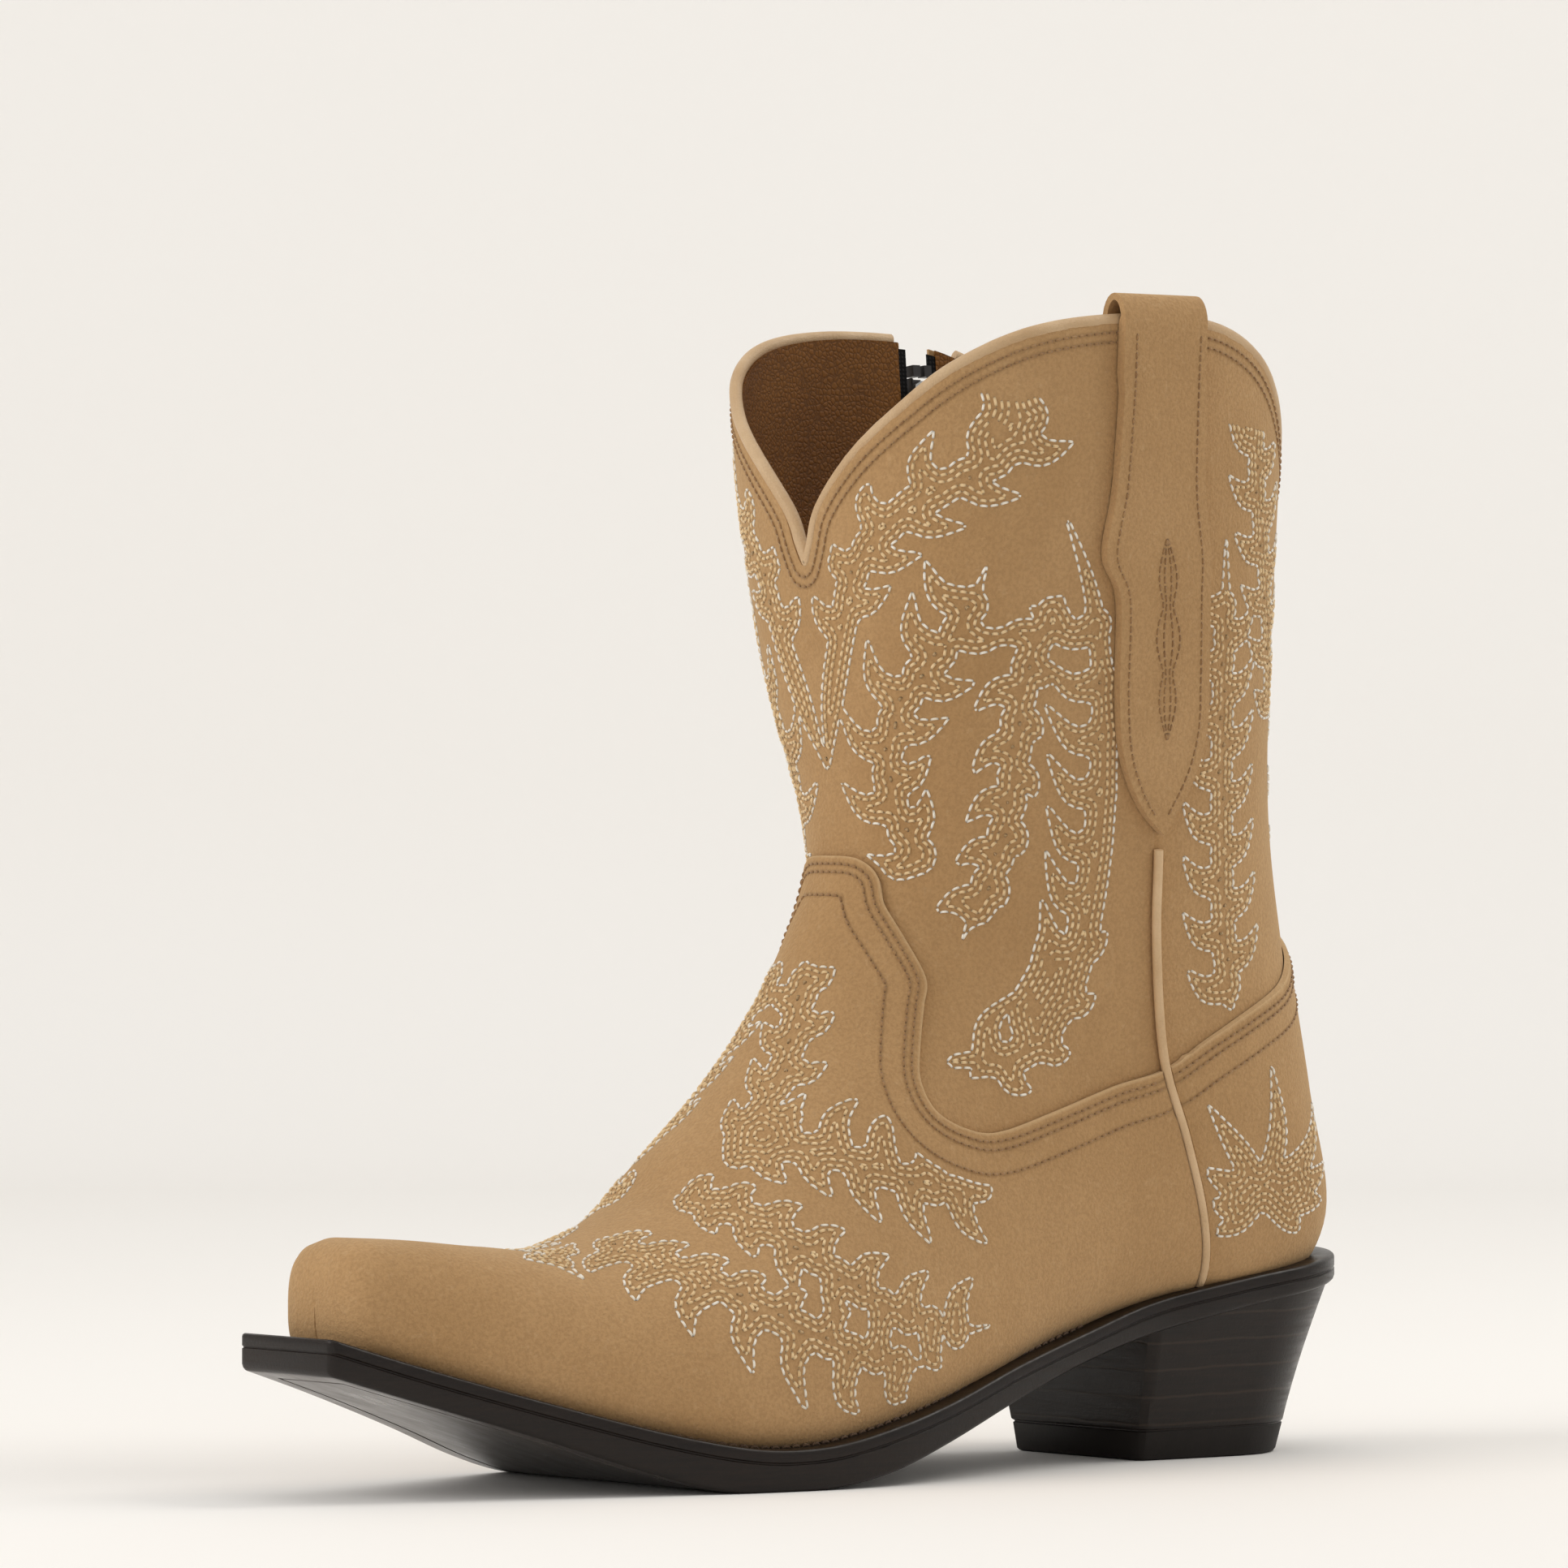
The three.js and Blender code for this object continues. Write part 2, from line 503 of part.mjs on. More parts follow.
function buildUpper() {
  const front = inFront(SEAM_GAP / 2);
  const back = inFront(-SEAM_GAP / 2);
  const vampCut = above(vampLine);

  const outer = shell(OUTER_LAYER).subtract(vampCut).subtract(belowSole);
  addPart('vamp', outer.intersect(front), SUEDE);
  addPart('heel_counter', outer.subtract(back), SUEDE);

  const middle = shell(MIDDLE_LAYER);
  const shaft = middle
    .intersect(above(lowered(vampLine, OVERLAP)))
    .subtract(collarCut)
    .subtract(zipSlot(ZIP_OPENING / 2, PANEL_SLOT_END));
  addPart('shaft_front_panel', shaft.intersect(front), SUEDE);
  addPart('shaft_back_panel', shaft.subtract(back), SUEDE);

  const foot = middle.subtract(above(lowered(vampLine, OVERLAP + 1))).subtract(belowSole);
  addPart('toe_puff', foot.intersect(front).intersect(strip(FRONT_Y, TOE_PUFF_END)), BOARD);
  addPart('vamp_backing', foot.intersect(front).intersect(strip(TOE_PUFF_END + GAP, REAR_Y)), BACKING);
  addPart('counter_stiffener', foot.subtract(back), BOARD);

  const lining = shell(LINING_LAYER).subtract(belowSole);
  const liningJoin = smooth(LINING_JOIN, 12);
  const low = lining.subtract(above(liningJoin));
  addPart('vamp_lining', low.intersect(inFront(GAP)), LINING);
  addPart('heel_lining', low.subtract(inFront(0)), LINING);
  const tapeHalf = ZIP_TAPE_EDGE + ZIP_TAPE_WIDTH;
  const high = lining
    .intersect(above(lowered(liningJoin, -GAP)))
    .subtract(collarCut)
    .subtract(zipSlot(tapeHalf + GAP, LINING_SLOT_END));
  addPart('shaft_lining_front', high.intersect(inFront(GAP)), LINING);
  addPart('shaft_lining_back', high.subtract(inFront(0)), LINING);

  addPart('collar_piping', collarPiping(), SMOOTH_TAN);
  addPart('outer_seam_bead', seamBead(1, OUTER_SEAM, OUTER_BEAD_TOP), SMOOTH_TAN);
  addPart('inner_seam_bead', seamBead(-1, INNER_SEAM, INNER_BEAD_TOP), SMOOTH_TAN);
  addPart('pull_strap', pullStrap(), SUEDE);

  const tape = shell(TAPE_LAYER)
    .subtract(above(lowered(collarLine, 2 * PIPING_RADIUS + 1)))
    .intersect(zipSlot(tapeHalf, TAPE_END))
    .subtract(zipSlot(ZIP_TAPE_EDGE, BOTTOM_Z));
  const [tapeFront, tapeBack] = tape.splitByPlane([0, -1, 0], -ZIP_TOP.y);
  addPart('zip_tape_front', tapeFront, TAPE_BLACK);
  addPart('zip_tape_back', tapeBack, TAPE_BLACK);
}

// The smooth bead that finishes the collar, from one side of the zip right round to the other.
function collarPiping() {
  const loop = mirrored(lowered(collarLine, PIPING_RADIUS));
  const zipS = -WRAP_RADIUS * Math.atan2(-ZIP_TOP.x, AXIS_Y - ZIP_TOP.y);
  const kept = loop.filter((p) => Math.abs(p.x - zipS) > ZIP_OPENING);
  const start = kept.findIndex((p) => p.x < 0 && p.x > zipS);
  const middleOfWall = (MIDDLE_LAYER[0] + LINING_LAYER[1]) / 2;
  const open = [...kept.slice(start), ...kept.slice(0, start)];
  return cord(open.map((p) => onShaft(p.x, p.y, middleOfWall)), PIPING_RADIUS, PIPING_STEPS);
}

// The bead in a side seam, from topZ down to the sole.
function seamBead(side, seam, topZ) {
  const line = smooth(seam, 60).filter((p) => p.y < topZ && p.y > SEAM_BOTTOM_Z);
  const points = line.map((p) => onSide(side, p.x, p.y, SEAM_BEAD_RADIUS));
  return cord(points, SEAM_BEAD_RADIUS, BEAD_STEPS).subtract(belowSole);
}

// The strap: stitched to the outside of the shaft, over the collar and down inside it.
function pullStrap() {
  const upright = (bottom) => sideBox([0, SIDE_X], STRAP_TOP_Y, [bottom, STRAP_BEND_Z]);
  const outside = wrappedBlock([...smooth(STRAP_FRONT_EDGE, 12), ...smooth(STRAP_BACK_EDGE, 10)]);
  const middleY = (STRAP_TOP_Y[0] + STRAP_TOP_Y[1]) / 2;
  const bendX = (inset) => onSide(1, middleY, STRAP_BEND_Z, inset).x;
  const [innerNear, innerFar] = STRAP_INNER_LAYER;
  const outerLeg = outside.add(upright(STRAP_FRONT_EDGE.at(-1)[1] - STRAP_LAP));
  return shell(STRAP_LAYER).intersect(outerLeg)
    .add(shell(STRAP_INNER_LAYER).intersect(upright(STRAP_INSIDE_BOTTOM)))
    .add(strapBend(bendX(STRAP_LAYER[0]), bendX(innerFar), innerFar - innerNear));
}

// The half ring of strap over the collar.
function strapBend(outerX, innerX, thickness) {
  const [y0, y1] = STRAP_TOP_Y;
  const middle = (outerX + innerX) / 2;
  const reach = (outerX - innerX) / 2;
  const rise = STRAP_TOP_Z - STRAP_BEND_Z;
  const shape = new THREE.Shape();
  shape.moveTo(outerX, STRAP_BEND_Z - BEND_LAP);
  shape.lineTo(outerX, STRAP_BEND_Z);
  shape.absellipse(middle, STRAP_BEND_Z, reach, rise, 0, Math.PI, false, 0);
  shape.lineTo(innerX, STRAP_BEND_Z - BEND_LAP);
  shape.lineTo(innerX + thickness, STRAP_BEND_Z - BEND_LAP);
  shape.absellipse(middle, STRAP_BEND_Z, reach - thickness, rise - thickness, Math.PI, 0, true, 0);
  shape.lineTo(outerX - thickness, STRAP_BEND_Z - BEND_LAP);
  const options = { depth: y1 - y0, curveSegments: 8, bevelEnabled: false };
  const geometry = new THREE.ExtrudeGeometry(shape, options);
  return solidOf(geometry.rotateX(Math.PI / 2).translate(0, y1, 0));
}

// A block that stands out from the shaft's axis through a wrapped outline.
function wrappedBlock(outline) {
  const shape = new THREE.Shape(outline);
  const geometry = new THREE.ExtrudeGeometry(shape, { depth: 1, steps: 8, bevelEnabled: false });
  const position = geometry.getAttribute('position');
  for (let i = 0; i < position.count; i++) {
    const radius = THREE.MathUtils.lerp(...WALL_RADII, position.getZ(i));
    const point = wrapped(position.getX(i), position.getY(i), radius);
    position.setXYZ(i, point.x, point.y, point.z);
  }
  return solidOf(geometry);
}

// ---------------------------------------------------------------- the zip

const zipUp = ZIP_TOP.clone().sub(ZIP_BOTTOM).normalize();
const zipAcross = zipUp.clone().cross(new THREE.Vector3(-1, 0, 0)).normalize();
const zipOut = zipAcross.clone().cross(zipUp);
const chainLength = ZIP_TOP.distanceTo(ZIP_BOTTOM);

// Puts a solid made at the chain's middle plane (X across, Y up the chain, Z outwards) in its place.
function inZip(geometry, down) {
  const matrix = new THREE.Matrix4().makeBasis(zipAcross, zipUp, zipOut);
  matrix.setPosition(ZIP_TOP.clone().addScaledVector(zipUp, -down));
  return geometry.applyMatrix4(matrix);
}

// A box in the chain's own directions, from [low, high] on each of them.
function zipBox([x0, x1], [y0, y1], [z0, z1], down) {
  const geometry = new THREE.BoxGeometry(x1 - x0, y1 - y0, z1 - z0);
  return solidOf(inZip(geometry.translate((x0 + x1) / 2, (y0 + y1) / 2, (z0 + z1) / 2), down));
}

// One row of teeth on its cord.
function teethRow(side) {
  const cordIn = CHAIN_CHANNEL + TOOTH_SIZE.reach;
  const cordOut = cordIn - CORD_OVERLAP + STRINGER_WIDTH;
  const shape = new THREE.Shape();
  shape.moveTo(side * cordOut, 0);
  const start = side > 0 ? FIRST_TOOTH : FIRST_TOOTH + TOOTH_PITCH / 2;
  for (let y = start; y < chainLength - TOOTH_PITCH; y += TOOTH_PITCH) {
    shape.lineTo(side * cordIn, -y);
    shape.lineTo(side * CHAIN_CHANNEL, -y);
    shape.lineTo(side * CHAIN_CHANNEL, -y - TOOTH_SIZE.height);
    shape.lineTo(side * cordIn, -y - TOOTH_SIZE.height);
  }
  shape.lineTo(side * cordIn, -chainLength);
  shape.lineTo(side * cordOut, -chainLength);
  const geometry = new THREE.ExtrudeGeometry(shape, { depth: TOOTH_SIZE.depth, bevelEnabled: false });
  return solidOf(inZip(geometry.translate(0, 0, -TOOTH_SIZE.depth / 2), 0));
}

function sliderBody() {
  const { length, width, plate, inside, post } = SLIDER;
  const outline = new THREE.Shape();
  outline.moveTo(-width * 0.36, -length / 2);
  outline.lineTo(width * 0.36, -length / 2);
  outline.lineTo(width / 2, length * 0.05);
  outline.lineTo(width * 0.42, length * 0.42);
  outline.lineTo(width * 0.2, length / 2);
  outline.lineTo(-width * 0.2, length / 2);
  outline.lineTo(-width * 0.42, length * 0.42);
  outline.lineTo(-width / 2, length * 0.05);
  const plateAt = (z) => {
    const geometry = new THREE.ExtrudeGeometry(outline, { depth: plate, bevelEnabled: false });
    return solidOf(inZip(geometry.translate(0, 0, z), SLIDER_REST));
  };
  const outerFace = inside / 2 + plate;
  const pivotDown = SLIDER_REST - PIVOT_UP;
  const lugNear = PULL.neck / 2 + LUG.gap;
  const lugFar = lugNear + LUG.thickness;
  const lug = (x0, x1) => zipBox(
    [x0, x1], [-LUG.halfLength, LUG.halfLength],
    [outerFace - LUG.sunk, PIVOT_LIFT + LUG.aboveAxis], pivotDown);
  const postReach = inside / 2 + LUG.sunk;
  const postBox = zipBox(
    [-post / 2, post / 2], [length * 0.1, length * 0.45], [-postReach, postReach], SLIDER_REST);
  const pinLength = 2 * lugNear + LUG.thickness * 0.6; // its ends are inside the lugs
  const pin = new THREE.CylinderGeometry(PIVOT_RADIUS, PIVOT_RADIUS, pinLength, 12).rotateZ(Math.PI / 2);
  return plateAt(-inside / 2 - plate)
    .add(plateAt(inside / 2))
    .add(postBox)
    .add(lug(-lugFar, -lugNear))
    .add(lug(lugNear, lugFar))
    .add(solidOf(inZip(pin.translate(0, 0, PIVOT_LIFT), pivotDown)));
}

function pullTab() {
  const { length, width, thickness, hole, neck, eye } = PULL;
  const ring = new THREE.Shape();
  ring.absarc(0, 0, eye, 0, 2 * Math.PI, false);
  ring.holes.push(new THREE.Path().absarc(0, 0, hole, 0, 2 * Math.PI, true));
  const eyeRing = new THREE.ExtrudeGeometry(ring, { depth: neck, curveSegments: 8, bevelEnabled: false });
  eyeRing.rotateY(Math.PI / 2).translate(-neck / 2, 0, PIVOT_LIFT);
  const tab = new THREE.Shape();
  tab.moveTo(-neck / 2, -eye * 0.8);
  tab.lineTo(-neck / 2, -eye - 1.4);
  tab.lineTo(-width / 2, -eye - 3.4);
  tab.lineTo(-width / 2, width / 2 - length);
  tab.absarc(0, width / 2 - length, width / 2, Math.PI, 2 * Math.PI, false);
  tab.lineTo(width / 2, -eye - 3.4);
  tab.lineTo(neck / 2, -eye - 1.4);
  tab.lineTo(neck / 2, -eye * 0.8);
  const slot = new THREE.Path();
  slot.absarc(0, width / 2 - length, width * 0.24, Math.PI, 2 * Math.PI, false);
  slot.lineTo(width * 0.24, -length * 0.42);
  slot.lineTo(-width * 0.24, -length * 0.42);
  tab.holes.push(slot);
  const plate = new THREE.ExtrudeGeometry(tab, { depth: thickness, curveSegments: 4, bevelEnabled: false });
  plate.translate(0, 0, PIVOT_LIFT - thickness / 2);
  const down = SLIDER_REST - PIVOT_UP;
  return solidOf(inZip(eyeRing, down)).add(solidOf(inZip(plate, down)));
}

function buildZip() {
  addPart('zip_teeth_front', teethRow(1), GUNMETAL);
  addPart('zip_teeth_back', teethRow(-1), GUNMETAL);
  const stopBox = (across, along, down) => zipBox(across, along, [-STOP.halfDepth, STOP.halfDepth], down);
  const topStop = [GAP, STOP.length];
  addPart('zip_top_stop_front', stopBox([CHAIN_CHANNEL, STOP.halfWidth], topStop, 0), GUNMETAL);
  addPart('zip_top_stop_back', stopBox([-STOP.halfWidth, -CHAIN_CHANNEL], topStop, 0), GUNMETAL);
  const bottomStop = stopBox([-STOP.halfWidth, STOP.halfWidth], [-STOP.length, -GAP], chainLength);
  addPart('zip_bottom_stop', bottomStop, GUNMETAL);
  addPart('zip_slider', sliderBody(), STEEL);
  addPart('zip_pull', pullTab(), STEEL);
}

// ---------------------------------------------------------------- the sole and the heel

function buildSole() {
  const weltBottom = raised(soleTop, -WELT_THICKNESS);
  const layer = (inset) => slabOf(inset, weltBottom, soleTop);
  const pins = [...NAIL_PLACES.map((place) => [NAIL_RADIUS, place]), [SCREW_RADIUS, SCREW_PLACE]];
  const holes = pins
    .map(([radius, place]) => pinSolid(radius + GAP, place, NAIL_BOTTOM - GAP, HOLE_TOP))
    .reduce((sum, hole) => sum.add(hole));

  const insoleTop = raised(soleTop, GAP + INSOLE_THICKNESS);
  const inside = formSolid(LINING_LAYER[1] + GAP);
  addPart('insole_board', inside.intersect(band(raised(soleTop, GAP), insoleTop)).subtract(holes), BOARD);
  const footbed = band(raised(insoleTop, GAP), raised(insoleTop, GAP + FOOTBED_THICKNESS));
  addPart('footbed', inside.intersect(footbed), LINING);

  const core = slabOf(WELT_WIDTH + 2 * GAP, weltBottom, soleTop);
  const shankBox = (grow) => sideBox(
    [-SHANK_HALF_WIDTH - grow, SHANK_HALF_WIDTH + grow],
    [SHANK_Y[0] - grow, SHANK_Y[1] + grow], [BOTTOM_Z, TOP_Z]);
  const shankSlot = shankBox(GAP);
  const forepart = strip(FRONT_Y, WELT_END_Y);
  addPart('welt', layer(0).subtract(column(WELT_WIDTH)).intersect(forepart), SOLE_BROWN);
  const seat = layer(0).intersect(strip(WELT_END_Y + GAP, REAR_Y));
  addPart('heel_seat', seat.subtract(shankSlot).subtract(holes), SOLE_BROWN);
  addPart('cork_filler', core.intersect(forepart).subtract(shankSlot), CORK);
  const shankBand = band(raised(soleTop, -SHANK_THICKNESS - SHANK_DEPTH), raised(soleTop, -SHANK_DEPTH));
  addPart('steel_shank', shankBox(0).intersect(shankBand), STEEL);

  const outsole = slabOf(0, tread, raised(weltBottom, -GAP));
  const padOf = (grow) => {
    const slab = slabOf(PAD_INSET - grow, raised(tread, -grow), raised(tread, PAD_THICKNESS + grow));
    return slab.intersect(strip(FRONT_Y, PAD_END_Y + grow));
  };
  addPart('outsole', outsole.subtract(padOf(GAP)).subtract(holes), SOLE_BROWN);
  addPart('forepart_pad', padOf(0), RUBBER);

  const heelUnder = heelBlock.intersect(under(raised(tread, -GAP)));
  const level = (z0, z1) => heelUnder.intersect(slice(z0, z1));
  addPart('heel_top_piece', level(BOTTOM_Z, TOP_PIECE_HEIGHT), RUBBER);
  let bottom = TOP_PIECE_HEIGHT + GAP;
  for (let i = 1; i <= WHOLE_LIFTS; i++) {
    addPart(`heel_lift_${i}`, level(bottom, bottom + LIFT_HEIGHT).subtract(holes), SOLE_BROWN);
    bottom += LIFT_HEIGHT + GAP;
  }
  addPart('heel_wedge', level(bottom, HEEL_HEIGHT).subtract(holes), SOLE_BROWN);

  // Just under the sole's upper face, which slopes up to the back.
  const pinTop = ([, y]) => soleTop.find((p) => p.x > y - 3).y;
  NAIL_PLACES.forEach((place, i) =>
    addPart(`heel_nail_${i + 1}`, pinSolid(NAIL_RADIUS, place, NAIL_BOTTOM, pinTop(place)), STEEL));
  addPart('heel_screw', pinSolid(SCREW_RADIUS, SCREW_PLACE, NAIL_BOTTOM, pinTop(SCREW_PLACE)), STEEL);
}

buildUpper();
buildZip();
buildSole();

export default boot;
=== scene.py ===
"""A short western boot in sand suede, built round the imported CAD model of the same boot.

Lengths are in millimetres until a mesh is made, and meshes are in metres. +Z is up, the toe points to -Y
and the outer side of the foot is +X. The upper is drawn on one smooth form, the shape of the boot's
outside: a place on it is (t, angle), where t counts the form's cross-sections from the toe and angle
runs round a section from its front or top, positive towards the outer side.
"""
import json
import math

import bpy
import numpy as np
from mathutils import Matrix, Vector
from mathutils.bvhtree import BVHTree
from mathutils.kdtree import KDTree


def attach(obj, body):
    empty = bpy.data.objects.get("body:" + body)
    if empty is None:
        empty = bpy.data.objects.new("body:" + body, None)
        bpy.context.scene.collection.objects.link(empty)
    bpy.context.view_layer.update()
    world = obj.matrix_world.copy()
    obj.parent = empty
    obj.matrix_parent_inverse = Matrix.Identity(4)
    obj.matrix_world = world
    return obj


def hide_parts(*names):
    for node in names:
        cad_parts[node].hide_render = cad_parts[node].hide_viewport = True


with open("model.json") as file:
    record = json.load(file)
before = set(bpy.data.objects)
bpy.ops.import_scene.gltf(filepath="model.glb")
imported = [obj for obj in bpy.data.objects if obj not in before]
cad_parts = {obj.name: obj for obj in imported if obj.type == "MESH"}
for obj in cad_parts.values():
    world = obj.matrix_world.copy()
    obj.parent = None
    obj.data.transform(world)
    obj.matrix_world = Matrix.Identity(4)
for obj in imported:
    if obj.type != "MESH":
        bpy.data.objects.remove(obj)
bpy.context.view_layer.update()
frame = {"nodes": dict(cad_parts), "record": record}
MM = 0.001

# ---------------------------------------------------------------- the form

SECTIONS = np.array([
    # front Y, Z  back Y, Z   outer, inner half width   front, back roundness   belly
    [-234, 57, -234, 29, 16.5, 16.5, 2.9, 3.4, 0.15],
    [-218, 56, -218, 23, 21, 21, 2.7, 3.4, 0.2],
    [-198, 54, -198, 16, 27.5, 27.5, 2.5, 3.4, 0.28],
    [-177, 53, -177, 10, 35, 35, 2.3, 3.4, 0.36],
    [-153, 62, -155, 5, 42, 42, 2.1, 3.4, 0.42],
    [-141, 75, -130, 4, 45, 43, 2, 3.4, 0.46],
    [-128, 89, -105, 8, 44, 40, 1.95, 3.4, 0.46],
    [-117, 103, -78, 15, 41, 37, 1.95, 3.2, 0.42],
    [-109, 116, -50, 25, 38, 35, 2, 3, 0.35],
    [-103, 127, -18, 32, 37, 35, 2.1, 3, 0.25],
    [-99, 138, 18, 33, 37, 36, 2.2, 3, 0.18],
    [-99, 149, 38, 50, 38.5, 37.5, 2.3, 2.8, 0.1],
    [-100, 160, 34, 80, 40, 39.5, 2.4, 2.6, 0.04],
    [-103, 174, 27, 112, 43, 42.5, 2.5, 2.5, 0],
    [-106, 193, 20, 150, 47, 46.5, 2.6, 2.5, 0],
    [-109, 225, 18, 205, 53, 51.5, 2.7, 2.6, 0],
    [-111, 275, 21, 275, 57, 57, 2.7, 2.6, 0],
], float)
TOE_ADVANCE = 8.0
TOE_BLUNTNESS = 0.62
AXIS_Y = -45.0
WRAP_RADIUS = 50.0
BACK_S = math.pi * WRAP_RADIUS

# Outlines on the shaft, as [distance round from the front, Z] for the outer side; both sides match.
COLLAR = [
    (0, 207.5), (1.5, 211.5), (4.5, 219.7), (13, 230.6), (23.5, 241), (35, 251.3), (49, 258.8),
    (66.5, 262), (87, 262), (98, 260), (108, 255), (116, 248), (124, 238), (134, 226), (146, 217),
    (BACK_S, 213),
]
VAMP_LINE = [
    (0, 140), (8, 139.5), (13, 136), (15.2, 129.5), (20, 122), (25.3, 112.5), (25.6, 106), (25.9, 98),
    (26.8, 89.7), (30, 82.4), (35.5, 78.3), (42, 77.5), (57, 81.5), (80, 87), (98, 90.6), (110, 97.5),
    (121.5, 104.8), (130, 110), (139, 117.5), (148, 123.5), (BACK_S, 126),
]
OUTER_SEAM = [(-47, 275), (-42, 200), (-36, 144), (-34, 122), (-30, 94), (-22.5, 75), (-16, 56), (-9, 30)]
INNER_SEAM = [(-30, 275), (-30, 200), (-30, 120), (-29, 98), (-24, 75), (-17, 56), (-10, 30)]
SOLE_TOP = [
    (-256, 38.3), (-225, 28.5), (-200, 21), (-175, 14), (-155, 10), (-140, 9.5), (-125, 11.5),
    (-100, 17.5), (-75, 25), (-50, 31.5), (-27, 37.5), (0, 42), (20, 44.5), (46, 47.3),
]
TREAD = [
    (-256, 30), (-225, 20.5), (-200, 12.5), (-178, 5), (-160, 0.3), (-147, 0), (-134, 0.3), (-118, 3),
    (-100, 8.5), (-75, 17), (-50, 24.5), (-27, 30), (0, 35), (20, 38), (46, 41),
]
STRAP_FRONT_EDGE = [
    (89.4, 144.3), (81, 151), (74, 162), (71, 176), (69, 198), (64.6, 207.5), (66.5, 223), (67.5, 246),
]
STRAP_BACK_EDGE = [(89.6, 246), (90.5, 223), (93.6, 207.5), (94.5, 198), (97, 180), (98.3, 168), (96, 157)]

UPPER_INSET = 0.0  # outer face of the vamp and the counter
SHAFT_INSET = 1.8  # outer face of the shaft's leather
LEATHER = 1.5
LINING_INSET = 3.6
LINING_THICKNESS = 1.1
PIPING_RADIUS = 1.5
ZIP_Y = -30.0
ZIP_OPENING = 9.0
ZIP_LOWEST = 100.0
ZIP_TOP_X = 50.6  # half width of the shaft at the top of the zip
PIPING_GAP = 7.5  # from the middle of the zip to the ends of the collar's piping
VAMP_ROWS = (2.0, 3.9, 9.4)  # sewn rows, from the upper edge of the vamp and the counter
COLLAR_ROWS = (2.4, 4.6)  # sewn rows, from the edge of the shaft's leather
TAPE_INSET, TAPE_THICKNESS = 3.7, 0.8
TAPE_EDGE, TAPE_WIDTH = 3.3, 12.0  # from the middle of the chain
TAPE_END_Z = 97.5
TUCK = 10.0  # how far the shaft's leather goes on under the vamp and the counter
STRAP_OUTSIDE = (-0.9, 1.5)  # insets of the strap's faces outside the boot, and then inside it
STRAP_INSIDE = (5.7, 7.3)
STRAP_COLUMNS = 15
STRAP_TOP_Z, STRAP_BEND_Z, STRAP_END_Z = 267.0, 260.5, 232.0
STRAP_TOP_Y = (-58.0, -33.5)
SEAM_BEAD_RADIUS = 1.1
OUTER_BEAD_TOP, INNER_BEAD_TOP, BEAD_BOTTOM = 142.0, 98.0, 38.0
WELT_THICKNESS = 3.2
TOE_EDGE = (17.5, -250.0)
SOLE_TOE = [TOE_EDGE, (21, -232), (26.5, -213), (32, -196), (39, -175)]  # (half width, Y)
SOLE_SEAT = [(32.5, -8), (32.8, 12)]
SOLE_OUTER_EDGE = SOLE_TOE + [
    (44.5, -155), (47.5, -135), (47.5, -115), (44.5, -95), (39.5, -72), (35, -50), (32, -27),
] + SOLE_SEAT
SOLE_INNER_EDGE = SOLE_TOE + [
    (44, -155), (45.5, -135), (44.5, -115), (41, -95), (36, -72), (32, -50), (30.5, -27),
] + SOLE_SEAT
SEAT_Y, SEAT_RADIUS = 12.0, 32.8
PAD_INSET, PAD_END_Y = 7.0, -96.0
HEEL_GROUND = {"breast_y": -24.5, "breast_half": 22.5, "back_y": 5.0, "radius": 24.0}
HEEL_SEAT = {"breast_y": -26.5, "breast_half": 29.5, "back_y": 11.5, "radius": 31.5}
TOP_PIECE_HEIGHT, HEEL_HEIGHT = 7.0, 38.0
FOOTBED_ENDS, FOOTBED_BASE, FOOTBED_MARGIN, FOOTBED_THICKNESS = (-228, 34), 3.2, 5.2, 3.5
BEAD_INSETS = (0.7, 1.1)  # middles of the outer and the inner seam bead
THREAD_INSET = 0.1  # how deep a stitch's middle lies in the leather
VAMP_STEP, VAMP_TURN = 19.0, 45.0  # millimetres along and round the vamp per section and per radian


def catmull(rows, t):
    """Points of the uniform Catmull-Rom curve through the rows, at places t."""
    rows = np.asarray(rows, float)
    last = len(rows) - 1
    t = np.asarray(t, float)
    i = np.clip(np.floor(t).astype(int), 0, last - 1)
    f = (t - i)[..., None]
    a, b, c, d = (rows[np.clip(i + k, 0, last)] for k in (-1, 0, 1, 2))
    bend, twist = 2 * a - 5 * b + 4 * c - d, 3 * b - a - 3 * c + d
    return 0.5 * (2 * b + (c - a) * f + bend * f ** 2 + twist * f ** 3)


def smooth(points, per_span=8):
    """A smooth line through the points."""
    count = (len(points) - 1) * per_span + 1
    return catmull(points, np.linspace(0, len(points) - 1, count))


def unit(vectors):
    return vectors / np.maximum(np.linalg.norm(vectors, axis=1)[:, None], 1e-6)


def run_along(points):
    """Distances along a line of points, from its start."""
    return np.concatenate([[0], np.cumsum(np.linalg.norm(np.diff(points, axis=0), axis=1))])


def evenly(points, pitch):
    """The points of a line again, spaced by about the pitch."""
    run = run_along(points)
    at = np.linspace(0, run[-1], int(run[-1] / pitch) + 1)
    return np.column_stack([np.interp(at, run, column) for column in points.T])


def grid_quads(index):
    """Quads over a grid of vertex numbers."""
    return np.stack([index[:-1, :-1], index[:-1, 1:], index[1:, 1:], index[1:, :-1]], -1).reshape(-1, 4)


def ring_quads(index):
    """Quads between rows of vertex numbers that each close on themselves."""
    return grid_quads(np.column_stack([index, index[:, 0]]))


